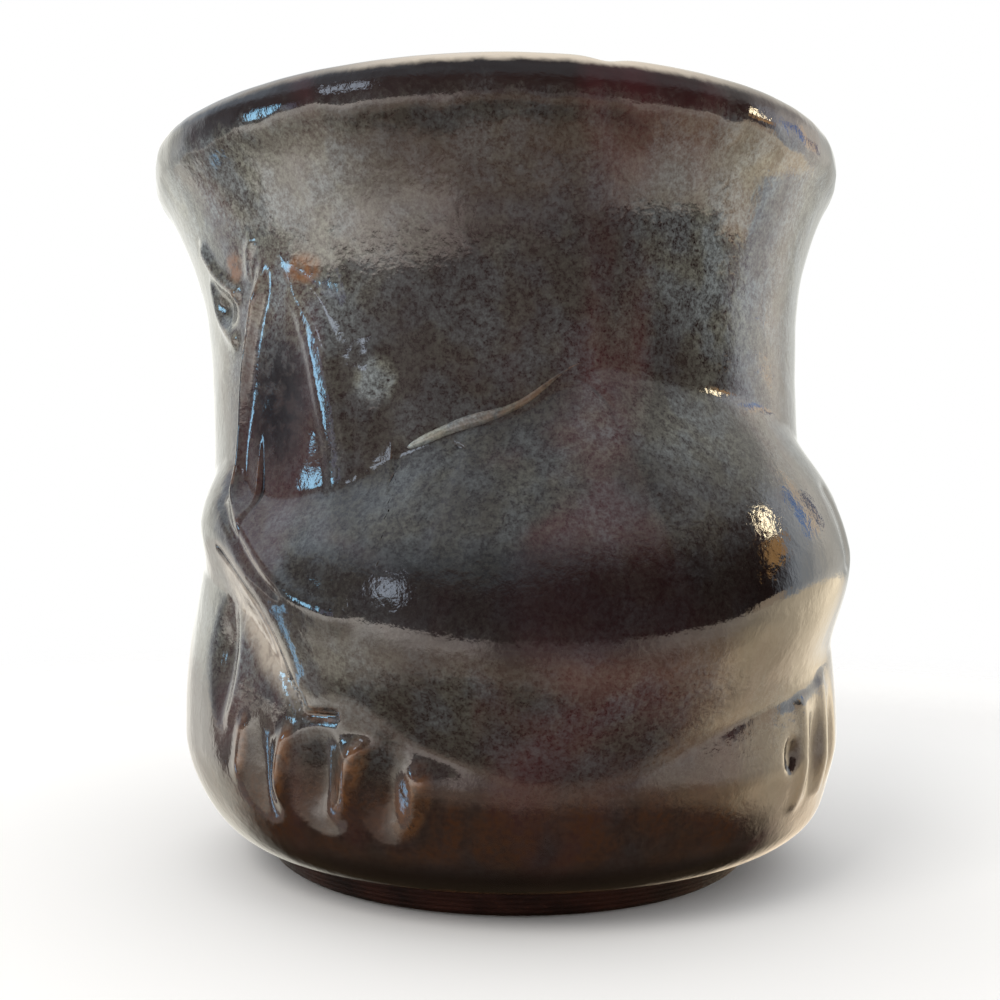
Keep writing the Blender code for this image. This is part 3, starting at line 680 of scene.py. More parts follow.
def fish_depth(angle, z):
    """How far a place lies inside the fish's whole outline, tail and all, up to OUTLINE_REACH."""
    back = [(a, through(BACK_LINE, a)) for a in np.arange(TAIL_END, HEAD_END, OUTLINE_STEP)]
    seam = [(a, through(TAIL_SEAM, a)) for a in np.arange(BODY_START, TAIL_START, OUTLINE_STEP)]
    under = [(a, through(UNDER_LINE, a)) for a in np.arange(BODY_START, HEAD_END, OUTLINE_STEP)]
    tail_left = [(TAIL_START, h) for h in np.arange(*TAIL_LEFT_SPAN, OUTLINE_RISE)]
    tail_right = [(TAIL_END, h) for h in np.arange(*TAIL_RIGHT_SPAN, OUTLINE_RISE)]
    head_end = [(HEAD_END, h) for h in np.arange(*HEAD_END_SPAN, OUTLINE_RISE)]
    fan = spline(TAIL_EDGE, FAN_STEPS)
    fan = fan[(fan[:, 0] > TAIL_START) & (fan[:, 0] < TAIL_END)]
    outline = [np.array(part) * (1, MM) for part in (back, seam, under, tail_left, fan, tail_right, head_end)]
    top = np.where(angle < TAIL_END, height_of(TAIL_EDGE, angle), height_of(BACK_LINE, angle))
    top = np.where(angle < TAIL_START, height_of(TAIL_SEAM, angle), top)
    inside = (angle > BODY_START) & (angle < HEAD_END) & (z < top) & (z > height_of(UNDER_LINE, angle))
    depth = np.min([nearest_on(part, angle, z, OUTLINE_REACH)[0] for part in outline], axis=0)
    return np.where(inside, depth, 0)


def face_directions(points, closed):
    """Outward unit direction at each point of a grid, from its neighbours; closed grids wrap along axis 1."""
    grid = np.concatenate([points[:, -1:], points, points[:, :1]], axis=1) if closed else points
    outward = np.cross(np.gradient(grid, axis=1), np.gradient(grid, axis=0))
    outward = outward[:, 1:-1] if closed else outward
    return outward / np.maximum(np.linalg.norm(outward, axis=2, keepdims=True), TINY)


def bend_of(points, outward):
    """How sharply a grid's surface bends, per millimetre: above 0 on ridges, below 0 in creases."""
    total = 0
    for axis in (0, 1):
        along = np.gradient(points, axis=axis)
        turn = np.gradient(outward, axis=axis)
        total = total + (turn * along).sum(axis=2) / np.maximum((along ** 2).sum(axis=2), TINY)
    return np.clip(total * MM, -SHARPEST_BEND, SHARPEST_BEND)


def add_mesh(name, points, faces, outward=None, bend=None):
    """Mesh object from arrays of points and of faces with four corners.

    A face whose last two corners are the same is a triangle.
    """
    mesh = bpy.data.meshes.new(name)
    three = faces[:, 2] == faces[:, 3]
    corners = np.where(three, 3, 4)
    keep = np.ones(faces.shape, dtype=bool)
    keep[:, 3] = ~three
    loops = faces[keep]
    mesh.vertices.add(len(points))
    mesh.vertices.foreach_set("co", points.astype(np.float32).ravel())
    mesh.loops.add(len(loops))
    mesh.loops.foreach_set("vertex_index", loops.astype(np.int32))
    mesh.polygons.add(len(faces))
    starts = np.concatenate([[0], np.cumsum(corners)[:-1]])
    mesh.polygons.foreach_set("loop_start", starts.astype(np.int32))
    mesh.update(calc_edges=True)
    mesh.validate()
    mesh.shade_smooth()
    if bend is not None:
        add_amount(mesh, "bend", bend)
    if outward is not None:
        mesh.normals_split_custom_set_from_vertices(outward.tolist())
    piece = bpy.data.objects.new(name, mesh)
    bpy.context.collection.objects.link(piece)
    return piece


def add_amount(mesh, name, amount):
    """Writes one number for each point of a mesh, for a material to read."""
    mesh.attributes.new(name, "FLOAT", "POINT").data.foreach_set("value", amount.astype(np.float32))


def grid_faces(rows, columns, wrap):
    """Corner numbers of the faces of a grid, row by row, wrapped round its columns if asked."""
    i, j = np.meshgrid(np.arange(rows - 1), np.arange(columns if wrap else columns - 1), indexing="ij")
    k = (j + 1) % columns
    return np.stack([i * columns + j, i * columns + k, (i + 1) * columns + k, (i + 1) * columns + j],
                    axis=-1).reshape(-1, 4)


def ringed(name, rings, outward=None, bend=None):
    """Closed solid of rings of points, each end closed by a fan to its middle."""
    rows, columns = rings.shape[:2]
    faces = grid_faces(rows, columns, wrap=True)
    points = np.concatenate([rings.reshape(-1, 3), [rings[0].mean(axis=0)], [rings[-1].mean(axis=0)]])
    first, last = len(points) - 2, len(points) - 1
    j = np.arange(columns)
    k = (j + 1) % columns
    end = (rows - 1) * columns
    start_fan = np.stack([k, j, np.full(columns, first), np.full(columns, first)], axis=1)
    end_fan = np.stack([end + j, end + k, np.full(columns, last), np.full(columns, last)], axis=1)
    faces = np.concatenate([faces, start_fan, end_fan])
    if outward is not None:
        outward = np.concatenate([outward.reshape(-1, 3), np.zeros((2, 3))])
    if bend is not None:
        bend = np.concatenate([bend.ravel(), [0, 0]])
    return add_mesh(name, points, faces, outward, bend)


def slab(name, face, bed, outward, bend):
    """Closed solid between an outer grid and an inner one of the same size, with a rim round its edge."""
    rows, columns = face.shape[:2]
    count = rows * columns
    front = grid_faces(rows, columns, wrap=False)
    back = front[:, ::-1] + count
    i, j = np.arange(rows), np.arange(columns)
    left, right = i[:-1] * columns, i[:0:-1] * columns + columns - 1
    edge = np.concatenate([left, (rows - 1) * columns + j[:-1], right, j[:0:-1]])
    after = np.roll(edge, -1)
    rim = np.stack([edge, after, after + count, edge + count], axis=1)
    points = np.concatenate([face.reshape(-1, 3), bed.reshape(-1, 3)])
    outward = np.concatenate([outward.reshape(-1, 3), np.zeros((count, 3))])
    bend = np.concatenate([bend.ravel(), np.zeros(count)])
    return add_mesh(name, points, np.concatenate([front, back, rim]), outward, bend)


def cup_angles(count):
    """Angles all round the cup, drawn closer together at the front, where the fish is, by a sine."""
    t = np.linspace(-math.pi, math.pi, count, endpoint=False)
    return np.degrees(t - CUP_GATHER * np.sin(t))


def lip_rings(angles, wall_relief):
    """Rings of the rolled lip: half a squarish oval from the outside over to the inside.

    The relief at the wall's top fades out over the lip, and the rim's ups and downs are largest on its crown.
    """
    turn = np.linspace(0, math.pi, LIP_STEPS)[1:-1]
    half = LIP_THICKNESS / 2
    over = LIP_RADIUS - half + half * np.sign(np.cos(turn)) * np.abs(np.cos(turn)) ** LIP_SQUARENESS
    up = LIP_START + LIP_DEPTH * np.sin(turn) ** LIP_SQUARENESS
    out = (over - LIP_RADIUS)[:, None] + wall_relief * np.linspace(1, 0, len(turn))[:, None]
    return settle(LIP_RADIUS + out, angles, up[:, None] + rim_wave(angles) * np.sin(turn)[:, None])


def inside_rings(angles):
    """Rings of the cup's inside: wall, rounded corner and floor.

    A sine wave makes faint throwing rings on the wall, and a cosine wave shallow rings on the floor.
    """
    inner_floor = CUP_BOTTOM + FLOOR
    corner = inner_floor + INNER_CORNER
    inner = np.linspace(LIP_START, corner, INSIDE_ROWS)[:, None]
    share = np.clip((inner - WAIST_HEIGHT) / (LIP_START - WAIST_HEIGHT), 0, 1)
    ring = INNER_RING * np.sin(inner / INNER_PITCH - np.radians(angles))
    ring = ring * rise(-inner, -LIP_START, -INNER_RINGS_START)
    wall = settle(wall_radius(inner) - WALL - (LIP_THICKNESS - WALL) * share + ring, angles, inner)
    reach = float(wall_radius(np.array(corner))) - WALL - INNER_CORNER
    down = np.linspace(0, math.pi / 2, CORNER_STEPS)[1:, None]
    bowl = settle(reach + INNER_CORNER * np.cos(down), angles, corner - INNER_CORNER * np.sin(down))
    spread = reach * np.linspace(1, 0, FLOOR_STEPS)[1:-1, None]
    floor = settle(spread, angles, inner_floor + INNER_FLOOR_RING * np.cos(spread / INNER_FLOOR_PITCH))
    return np.concatenate([wall, bowl, floor])


def make_cup():
    """Thrown cup: underside, outside with its relief, rolled lip and inside, as one closed run of rings.

    The outside is shaded by the finished relief, all but its lowest rows, which turn in under the cup.
    """
    angles = cup_angles(CUP_COLUMNS)
    heights = np.concatenate([CUP_BOTTOM + np.array(HEEL_STEPS) * MM,
                              np.linspace(CUP_BOTTOM + MM, LIP_START, CUP_ROWS)])
    a, z = np.meshgrid(angles, heights)
    shape = relief(a, z)
    true_face = off_wall(a, z, shape)
    under_fish = rise(fish_depth(a, z), 0, CUP_SINK_WIDTH)
    sunk = under_fish * (np.maximum(shape - cup_relief(a, z), 0) + CUP_SINK)
    outside = off_wall(a, z, shape - sunk)
    bottom = settle(HEEL_RADIUS * np.array(UNDERSIDE_SHARES)[:, None], angles, CUP_BOTTOM)
    rings = np.concatenate([bottom, outside, lip_rings(angles, shape[-1]), inside_rings(angles)])
    first, turned_in = len(bottom), len(HEEL_STEPS)
    true_directions = face_directions(true_face, closed=True)
    directions = np.zeros(rings.shape)
    directions[first + turned_in:first + len(outside) - 1] = true_directions[turned_in:-1]
    bend = np.zeros(rings.shape[:2])
    bend[first:first + len(outside)] = bend_of(true_face, true_directions)
    return ringed("cup", rings, directions, bend)


def rim_wave(angles):
    """Small ups and downs of the rim: two sine waves, and a bell curve for the dent at the front right."""
    dent = RIM_DENT * bell(angles - RIM_DENT_ANGLE, RIM_DENT_WIDTH)
    return waves(RIM_WAVES, np.radians(angles)) * MM - dent


def pad(name, angle, z):
    """Piece of the fish over a grid of places: its face is the finished relief, let in a little at its edges.

    Its bed lies under the cup's own relief.
    """
    shape = relief(angle, z)
    true_face = off_wall(angle, z, shape)
    rows, columns = angle.shape
    run = np.linalg.norm(np.diff(true_face, axis=0), axis=2).mean() * (rows - 1)
    fall = np.linalg.norm(np.diff(true_face, axis=1), axis=2).mean() * (columns - 1)
    u, v = shares(rows, columns)
    from_edge = np.minimum(np.minimum(u, 1 - u) * run, np.minimum(v, 1 - v) * fall)
    face = off_wall(angle, z, shape - EDGE_SINK * (1 - rise(from_edge, 0, SINK_WIDTH)))
    bed = off_wall(angle, z, np.minimum(cup_relief(angle, z), shape) - PAD_BED)
    outward = face_directions(true_face, closed=False)
    return slab(name, face, bed, outward, bend_of(true_face, outward))


def shares(rows, columns):
    """Two grids of shares from 0 to 1, one growing down the rows and one along the columns."""
    return np.meshgrid(np.linspace(0, 1, rows), np.linspace(0, 1, columns), indexing="ij")


def between(start, end, start_bow, end_bow, rows, columns):
    """Grid of places between the fish's upper and lower edges.

    Its ends are bowed by some degrees: half a sine wave, fading as a square towards the other end.
    """
    u, v = shares(rows, columns)
    bow = np.sin(math.pi * v)
    angle = start + (end - start) * u + start_bow * bow * (1 - u) ** 2 + end_bow * bow * u ** 2
    seam, back = height_of(TAIL_SEAM, angle) + LAP, height_of(BACK_LINE, angle)
    upper = np.where(angle < TAIL_SEAM[-1][0], seam, back)
    return angle, upper + (height_of(UNDER_LINE, angle) - upper) * v


def make_body():
    """Belly of the fish, from the tail's lower tip to the gill line."""
    return pad("belly", *between(BODY_START, GILL + LAP / DEGREE, 0, GILL_BOW, *BODY_GRID))


def make_head():
    """Head of the fish, from the gill line round the side to the mouth."""
    return pad("head", *between(GILL - LAP / DEGREE, HEAD_END, GILL_BOW, 0, *HEAD_GRID))


def make_tail():
    """Tail fan, from its seam with the body up to its free edge."""
    u, v = shares(*TAIL_GRID)
    angle = TAIL_START + (TAIL_END - TAIL_START) * u
    lower = height_of(TAIL_SEAM, angle) - LAP
    upper = height_of(TAIL_EDGE, angle)
    return pad("tail_fan", angle, upper + (lower - upper) * v)


def side_and_lift(path):
    """Unit directions across a path on the wall and out from the wall, at each of its points."""
    along = np.gradient(path, axis=0)
    along /= np.linalg.norm(along, axis=1)[:, None]
    side = np.cross(along, path * (1, 1, 0))
    side /= np.linalg.norm(side, axis=1)[:, None]
    return side, np.cross(side, along)


def shaded_rings(name, rings):
    """Closed solid of rings that also carries how sharply it bends."""
    return ringed(name, rings, bend=bend_of(rings, face_directions(rings, closed=True)))


def add_milk_and_highlight(piece, amount):
    """Marks how far deep glaze turned milky on a piece, with its painted highlight, ring by ring."""
    add_amount(piece.data, "milk_and_highlight", np.concatenate([np.repeat(amount, ROD_SIDES), [0, 0]]))


def rod(name, path, half_width, half_depth):
    """Oval rod along points on the wall, with its half width and half depth at each."""
    side, lift = side_and_lift(path)
    turn = np.linspace(0, -math.tau, ROD_SIDES, endpoint=False)[:, None]
    across = (side * half_width[:, None])[:, None]
    outward = (lift * half_depth[:, None])[:, None]
    return shaded_rings(name, path[:, None] + np.cos(turn) * across + np.sin(turn) * outward)


def make_back_coil():
    """Thin coil along the fish's back, sinking deeper and thinning to the right, a little uneven.

    Its radius is the root of half a sine wave, so that both ends close, times a straight taper and a wave.
    """
    t = np.linspace(*FIN_SPAN, COIL_RINGS)
    angle = FIN_START + (FIN_END - FIN_START) * t
    z = height_of(BACK_LINE, angle) + FIN_LIFT
    taper = FIN_TAPER[0] - FIN_TAPER[1] * t
    radius = FIN_RADIUS * np.sin(math.pi * t) ** 0.5 * taper * (1 + waves(FIN_WAVE, t))
    lift = (FIN_SINK[0] - FIN_SINK[1] * t) * radius
    coil = rod("back_coil", off_wall(angle, z, relief(angle, z) + lift), radius, radius)
    # Milky glaze with a painted highlight, strongest at the left end
    add_milk_and_highlight(coil, FIN_MILK_AND_HIGHLIGHT[0] + FIN_MILK_AND_HIGHLIGHT[1] * (1 - t) ** 2)
    return coil


def make_mouth_lip(name, side):
    """One lip of the mouth: half an egg above or below the mouth line, its back end inside the head.

    Along its length its size is the root of 1 less the squared share, as in a circle.
    """
    share = np.linspace(*MOUTH_SPAN, MOUTH_RINGS)
    size = np.sqrt(1 - share ** 2) / 2
    angle = MOUTH_LIP_START + (MOUTH_LIP_END - MOUTH_LIP_START) * share
    z = MOUTH_HEIGHT + side * MOUTH_LIP_HEIGHT * size
    path = off_wall(angle, z, MOUTH_LIP_DEPTH * size)
    return rod(name, path, MOUTH_LIP_HEIGHT * size * MOUTH_OVERLAP, MOUTH_LIP_DEPTH * size)


def make_eye():
    """Eye: a pellet turned from an outline of (radius, height) shares, rounded, pressed in at its middle."""
    angle = EYE_ANGLE + np.array([0, 1, 0])
    z = EYE_HEIGHT + np.array([0, 0, MM])
    spot, ahead, above = off_wall(angle, z, relief(angle, z))
    outward = np.cross(ahead - spot, above - spot)
    outward /= np.linalg.norm(outward)
    across = ahead - spot
    across /= np.linalg.norm(across)
    outline = spline(EYE_OUTLINE, EYE_GRID[0])
    turn = np.linspace(0, math.tau, EYE_GRID[1], endpoint=False)[:, None]
    circle = np.cos(turn) * across + np.sin(turn) * np.cross(outward, across)
    rings = spot + EYE_RADIUS * outline[:, :1, None] * circle + EYE_THICKNESS * outline[:, 1:, None] * outward
    return shaded_rings("eye_pellet", rings)


def handle_path(count):
    """Centre line of the handle in the YZ plane: one cubic Bezier curve, ear-shaped, from root to root."""
    upper, lower = [np.array([float(wall_radius(np.array(z))) - WALL / 2, z])
                    for z in (HANDLE_TOP, HANDLE_BOTTOM)]
    pull = (HANDLE_REACH + WALL / 2 - HANDLE_THICKNESS / 2) / HANDLE_PULL
    over = upper + (HANDLE_TOP_PULL * pull, HANDLE_RISE)
    under = lower + (HANDLE_FOOT_PULL * pull, -HANDLE_TUCK)
    t = np.linspace(0, 1, count)[:, None]
    return ((1 - t) ** 3 * upper + 3 * t * (1 - t) ** 2 * over
            + 3 * t ** 2 * (1 - t) * under + t ** 3 * lower)


def make_handle():
    """Pulled handle: a squarish oval carried along its path, its roots spread round the wall.

    Bell curves widen it towards both roots and press two grooves into its outer face and one into its inner.
    Its roots bend round the wall by the square of the way from its middle.
    """
    path = handle_path(HANDLE_GRID[0])
    along = np.gradient(path, axis=0)
    along /= np.linalg.norm(along, axis=1)[:, None]
    reached = np.concatenate(([0], np.cumsum(np.linalg.norm(np.diff(path, axis=0), axis=1))))
    from_root = np.minimum(reached, reached[-1] - reached)[:, None]
    t = (reached / reached[-1])[:, None]
    root = 1 + (HANDLE_FLARE - 1) * bell(from_root, HANDLE_FLARE_LENGTH)
    root = root + ROOT_COLLAR * bell(from_root, ROOT_COLLAR_LENGTH)
    width = HANDLE_WIDTH + (HANDLE_FOOT_WIDTH - HANDLE_WIDTH) * t
    half = width / 2 * root * (1 + waves(HANDLE_WAVES, t))
    turn = np.linspace(0, -math.tau, HANDLE_GRID[1], endpoint=False)
    flat = np.sign(np.cos(turn)) * np.abs(np.cos(turn)) ** HANDLE_SQUARENESS
    outer = OUTER_GROOVE * bell(np.abs(flat) - OUTER_GROOVE_PLACE, OUTER_GROOVE_WIDTH) * (np.sin(turn) > 0)
    inner = INNER_GROOVE * bell(flat, INNER_GROOVE_WIDTH) * (np.sin(turn) < 0)
    out = np.sin(turn) * (1 - outer - inner) * HANDLE_THICKNESS / 2 * root
    x = flat * half
    wrap = x ** 2 / (2 * WAIST_RADIUS) * bell(from_root, ROOT_WRAP_LENGTH)
    y = path[:, :1] - along[:, 1:] * out - wrap
    z = path[:, 1:] + along[:, :1] * out
    return shaded_rings("pulled_handle", np.stack([x + HANDLE_SHIFT, y, z], axis=-1))


def make_foot():
    """Turned foot: flat underneath, its side a cone with fine turning marks, its top hidden under the cup.

    The marks are a sine wave up the side, and a slow sine wave round it keeps it from being a true circle.
    """
    rings = [(FOOT_RADIUS * share, FOOT_HEIGHT * high) for share, high in FOOT_OUTLINE]
    side = np.linspace(*FOOT_SIDE_SPAN, FOOT_GRID[0])
    marks = FOOT_MARK * np.sin(side * FOOT_MARKS)
    rings += list(zip(FOOT_RADIUS + (FOOT_TOP_RADIUS - FOOT_RADIUS) * side + marks, FOOT_HEIGHT * side))
    rings += [(FOOT_TOP_RADIUS * share, CUP_BOTTOM + FOOT_TUCK) for share in FOOT_TOP_SHARES]
    radius, z = np.array(rings).T[:, :, None]
    a = np.linspace(-180, 180, FOOT_GRID[1], endpoint=False)
    uneven = FOOT_WAVE * np.sin(np.radians(3 * a) + 1) * rise(z, 0, FOOT_HEIGHT)
    return shaded_rings("turned_foot", settle(radius + uneven, a, z))


class Wire:
    """Output of a shader node; + - * / between wires and numbers add Math nodes."""

    def __init__(self, finish, node, output):
        self.finish = finish
        self.node = node
        self.socket = node.outputs[output]

    def out(self, output):
        """Another output of the same node."""
        return Wire(self.finish, self.node, output)

    def __add__(self, other):
        return self.finish.math("ADD", self, other)

    def __sub__(self, other):
        return self.finish.math("SUBTRACT", self, other)

    def __rsub__(self, other):
        return self.finish.math("SUBTRACT", other, self)

    def __mul__(self, other):
        return self.finish.math("MULTIPLY", self, other)

    def __truediv__(self, other):
        return self.finish.math("DIVIDE", self, other)

    __radd__ = __add__
    __rmul__ = __mul__


class Finish:
    """Node tree being made: node() adds any node, and the other methods are short names for common ones."""

    def __init__(self, tree):
        self.tree = tree
        tree.nodes.clear()

    def node(self, kind, settings, sockets, output=0):
        """Adds a node: its settings first, ramp stops among them, then the values or wires of its sockets."""
        made = self.tree.nodes.new(kind)
        for name, value in settings.items():
            if name == "stops":
                made.color_ramp.elements.remove(made.color_ramp.elements[1])
                for where, colour in value:
                    stop = made.color_ramp.elements.new(where)
                    stop.color = (*colour, 1)
                made.color_ramp.elements.remove(made.color_ramp.elements[0])
            else:
                setattr(made, name, value)
        for key, value in sockets.items():
            if isinstance(value, Wire):
                self.tree.links.new(value.socket, made.inputs[key])
            else:
                made.inputs[key].default_value = value
        return Wire(self, made, output) if made.outputs else made

    def math(self, operation, a, b=0.0):
        """Math node of one or two values."""
        return self.node("ShaderNodeMath", {"operation": operation}, {0: a, 1: b})

    def ramp(self, value, low, high):
        """Smooth step of a value, 0 at low and 1 at high."""
        sockets = {"Value": value, "From Min": low, "From Max": high}
        return self.node("ShaderNodeMapRange", {"interpolation_type": "SMOOTHSTEP"}, sockets)

    def mix(self, factor, a, b):
        """Colour between a and b."""
        colours = {key: value if isinstance(value, Wire) else (*value, 1) for key, value in ((6, a), (7, b))}
        return self.node("ShaderNodeMix", {"data_type": "RGBA"}, {0: factor, **colours}, output=2)

    def stretch(self, vector, x, y, z):
        """Coordinates times a factor along each axis."""
        return self.node("ShaderNodeVectorMath", {"operation": "MULTIPLY"}, {0: vector, 1: (x, y, z)})

    def noise(self, vector, scale, detail=2.0, distortion=0.0):
        """Noise around one half, with this many waves in a metre."""
        sockets = {"Vector": vector, "Scale": scale, "Detail": detail, "Distortion": distortion}
        return self.node("ShaderNodeTexNoise", {}, sockets)

    def spot(self, angle, height, centre, half):
        """Soft oval patch on the wall: 1 at its centre (degrees, mm), 0 beyond its half sizes."""
        across = (angle - centre[0]) / half[0]
        up = (height - centre[1]) / half[1]
        return self.ramp(across * across + up * up, 1.0, 0.0)


def add_output(finish, shader, kind="ShaderNodeOutputMaterial"):
    """Ends a node tree in a shader."""
    finish.node(kind, {}, {"Surface": shader})


def new_finish(name):
    """Empty material and its node tree."""
    material = bpy.data.materials.new(name)
    material.use_nodes = True
    return material, Finish(material.node_tree)


def wall_place(finish):
    """Object coordinates, the angle round the mug in degrees and the height in millimetres."""
    place = finish.node("ShaderNodeTexCoord", {}, {}, output="Object")
    parts = finish.node("ShaderNodeSeparateXYZ", {}, {0: place})
    angle = finish.math("ARCTAN2", parts.out(0), parts.out(1) * -1) * math.degrees(1)
    return place, angle, parts.out(2) * (1 / MM)


class GlazeFields:
    """What the glaze depends on, as wires: place, surface, the fish's dark zones, which are partly painted
    dark reflection, and the noises.
    """

    def __init__(self, finish):
        self.finish = finish
        self.place, self.angle, self.height = wall_place(finish)
        self.bend, self.milk_and_highlight = [finish.node("ShaderNodeAttribute", {"attribute_name": name}, {}, output="Fac")
                                for name in ("bend", "milk_and_highlight")]
        facing = finish.node("ShaderNodeNewGeometry", {}, {}, output="Normal")
        self.upward = finish.node("ShaderNodeSeparateXYZ", {}, {0: facing}).out(2)
        self.crest = self.spot(*FISH_CREST)
        self.right = self.spot(*FISH_RIGHT)
        runs = finish.stretch(self.place, 1, 1, RUN_STRETCH)
        for name, sizes in RUN_NOISES.items():
            setattr(self, name, finish.noise(runs, *sizes))
        for name, sizes in GLAZE_NOISES.items():
            setattr(self, name, finish.noise(self.place, *sizes))

    def spot(self, centre, half):
        """Soft oval patch at its place on the wall."""
        return self.finish.spot(self.angle, self.height, centre, half)

    def patches(self, zones):
        """Sum of soft oval patches, each times its strength."""
        return sum(self.spot(centre, half) * strength for centre, half, strength in zones)


def milk_and_sheen(finish, field):
    """How milky and lit the glaze looks, from 0 to 1: milky glaze and painted reflections in a few zones,
    painted sheen on faces that look up, a painted reflection on the knob beside the tail, and milky glaze
    with a painted highlight along the coil.

    There is less on the fish, as painted dark reflection, and towards the heel, as painted shade, and none
    under the lip.  Fine noises break it up.
    """
    # Painted sheen on faces that look up, over the zones of milky glaze and painted reflection
    veil_and_sheen = field.patches(MILK_AND_SHEEN_ZONES) + finish.ramp(field.upward, 0.15, 0.8) * UPWARD_SHEEN + MILK_EVERYWHERE
    # Milky glaze and a painted reflection on the knob beside the tail
    veil_and_sheen = veil_and_sheen + finish.math("MINIMUM", field.spot(*KNOB_MILK_AND_SHEEN) * KNOB_FULLNESS, 1.0) * KNOB_MILK_AND_SHEEN_AMOUNT
    # Less milkiness on the fish's crest and right side, part of its painted dark reflection
    off_fish = 1 - finish.math("MAXIMUM", field.crest * 0.8, field.right * 0.95)
    # Less milkiness towards the heel, as painted shade
    over_heel = finish.ramp(field.height, *MILK_OVER_HEEL) * 0.7 + 0.3
    under_lip = finish.ramp(field.height + field.mottle * 5 + field.streak * 4, *MILK_UNDER_LIP)
    grain = finish.ramp(field.dust, 0.3, 0.7) * 0.9 + finish.ramp(field.speckle, 0.38, 0.64)
    grain = grain + finish.ramp(field.mottle, 0.38, 0.64) * 0.6
    clouds = finish.ramp(field.cloud, 0.35, 0.65) * 0.35 + finish.ramp(field.streak, 0.35, 0.65) * 0.35 + 0.55
    thick_and_lit = veil_and_sheen * off_fish * over_heel * under_lip * grain * clouds
    return finish.math("MINIMUM", thick_and_lit + field.milk_and_highlight * (grain * 0.3 + 0.5), 1.0)


def thin_glaze(finish, field):
    """Where the glaze ran thin and amber: at the tail's edges and on the fingers of clay in the heel."""
    thin = field.patches(THIN_ZONES)
    for middle, lean, half, top, bottom, _ in FINGERS:
        across = field.angle - (field.height - FINGER_MIDDLE) * lean
        size = (half * FINGER_SPREAD, (top - bottom) / 2 + FINGER_MARGIN)
        patch = finish.spot(across, field.height, (middle, (top + bottom) / 2), size)
        thin = thin + patch * FINGER_STRENGTH
    return thin


def glaze_colour(finish, field, haze_and_sheen, pools_and_shade):
    """Colour of the glaze: layers over a black-brown ground, each mixed in by its own amount.

    They are wine red blotches; the fish's near-black crest, partly a painted dark reflection; milky glaze
    with painted sheen and reflections; a brown band over a heel that goes near-black below as painted shade;
    amber where sharp edges break through; the pale ridge under the tail, broken glaze with a painted
    reflection; amber where it ran thin; near-black pooled glaze and painted shade in creases and hollows; an
    amber edge over the foot, thin glaze with a painted highlight; and a tan lip, worn glaze with a painted
    highlight.
    """
    height, mottle = field.height, field.mottle
    cool = finish.mix(finish.ramp(field.cloud, 0.4, 0.6), MILK_AND_SHEEN_GREEN, MILK_AND_SHEEN_BLUE)
    band = finish.ramp(height, *BROWN_BAND_BOTTOM) * finish.ramp(height, *BROWN_BAND_TOP)
    band = band * finish.ramp(field.streak, 0.3, 0.6)
    breaks = finish.ramp(field.bend, 0.35, 1.2) * finish.ramp(mottle, 0.35, 0.6) * (1 - field.milk_and_highlight)
    off_fish = 1 - finish.math("MAXIMUM", field.crest, field.right)
    across = field.angle + (height - PALE_RIDGE_MIDDLE) * PALE_RIDGE_LEAN
    ridge = finish.spot(across, height, *PALE_RIDGE)
    lip = finish.ramp(height + mottle * 0.8, *[CUP_HEIGHT / MM - below for below in LIP_BELOW_TOP])
    layers = [
        (finish.ramp(field.blotch, 0.5, 0.66) * 0.8, WINE),
        # Near-black on the fish's crest and right side: darker glaze and a painted dark reflection
        (finish.math("MAXIMUM", field.crest * 0.85, field.right), NEAR_BLACK),
        (haze_and_sheen, cool),
        (band * (finish.ramp(field.speckle, 0.38, 0.62) * 0.6 + 0.35), WARM_BROWN),
        # Near-black towards the bottom, painted shade
        (finish.ramp(height, *DARK_HEEL) * 0.9, NEAR_BLACK),
        (breaks * 0.25 * off_fish, AMBER),
        # Pale ridge: broken glaze with a painted reflection
        (ridge * (finish.ramp(mottle, 0.35, 0.6) * 0.2 + 0.35), LIP_TAN),
        (thin_glaze(finish, field) * (finish.ramp(mottle, 0.4, 0.6) * 0.5 + 0.25), AMBER),
        # Pooled glaze and painted shade in creases and hollows
        (pools_and_shade * (0.9 - finish.ramp(mottle, 0.45, 0.6) * 0.3), NEAR_BLACK),
        # Amber edge over the foot: thin glaze and a painted highlight
        (finish.ramp(height + field.streak * 1.2, *AMBER_FOOT_EDGE) * 0.2, AMBER),
        # Tan lip: worn glaze with a painted highlight along its front
        (lip * (field.spot(*LIP_WEAR_AND_HIGHLIGHT) * 0.6 + 0.3), LIP_TAN),
    ]
    colour = BLACK_BROWN
    for amount, tint in layers:
        colour = finish.mix(amount, colour, tint)
    return colour


def make_glaze():
    """Glossy dark glaze: black-brown and wine red, milky where it lies deep, amber where edges break.

    In places painted sheen, reflections, highlights and shade are part of its colour.
    """
    material, finish = new_finish("glaze")
    field = GlazeFields(finish)
    haze_and_sheen = milk_and_sheen(finish, field)
    # Creases and two hollows go near-black and rougher: pooled glaze and painted shade
    pools_and_shade = finish.math("MAXIMUM", finish.ramp(field.bend, -0.4, -1.0), field.patches(POOL_AND_SHADE_ZONES))
    dry = finish.ramp(field.height, *DRY_HEEL)
    roughness = finish.ramp(field.mottle, 0.4, 0.7) * 0.04 + haze_and_sheen * 0.06 + pools_and_shade * 0.06 + dry * 0.15 + 0.03
    peel = finish.noise(field.place, *PEEL_NOISE)
    bumps = peel + field.speckle * 0.7 + field.dust * 0.3 + field.mottle * 1.8 + field.cloud * 4
    bump = finish.node("ShaderNodeBump", {}, {**GLAZE_BUMP, "Height": bumps})
    shader = finish.node("ShaderNodeBsdfPrincipled", {}, {
        "Base Color": glaze_colour(finish, field, haze_and_sheen, pools_and_shade), "Roughness": roughness, "IOR": GLAZE_IOR,
        "Normal": bump})
    add_output(finish, shader)
    return material


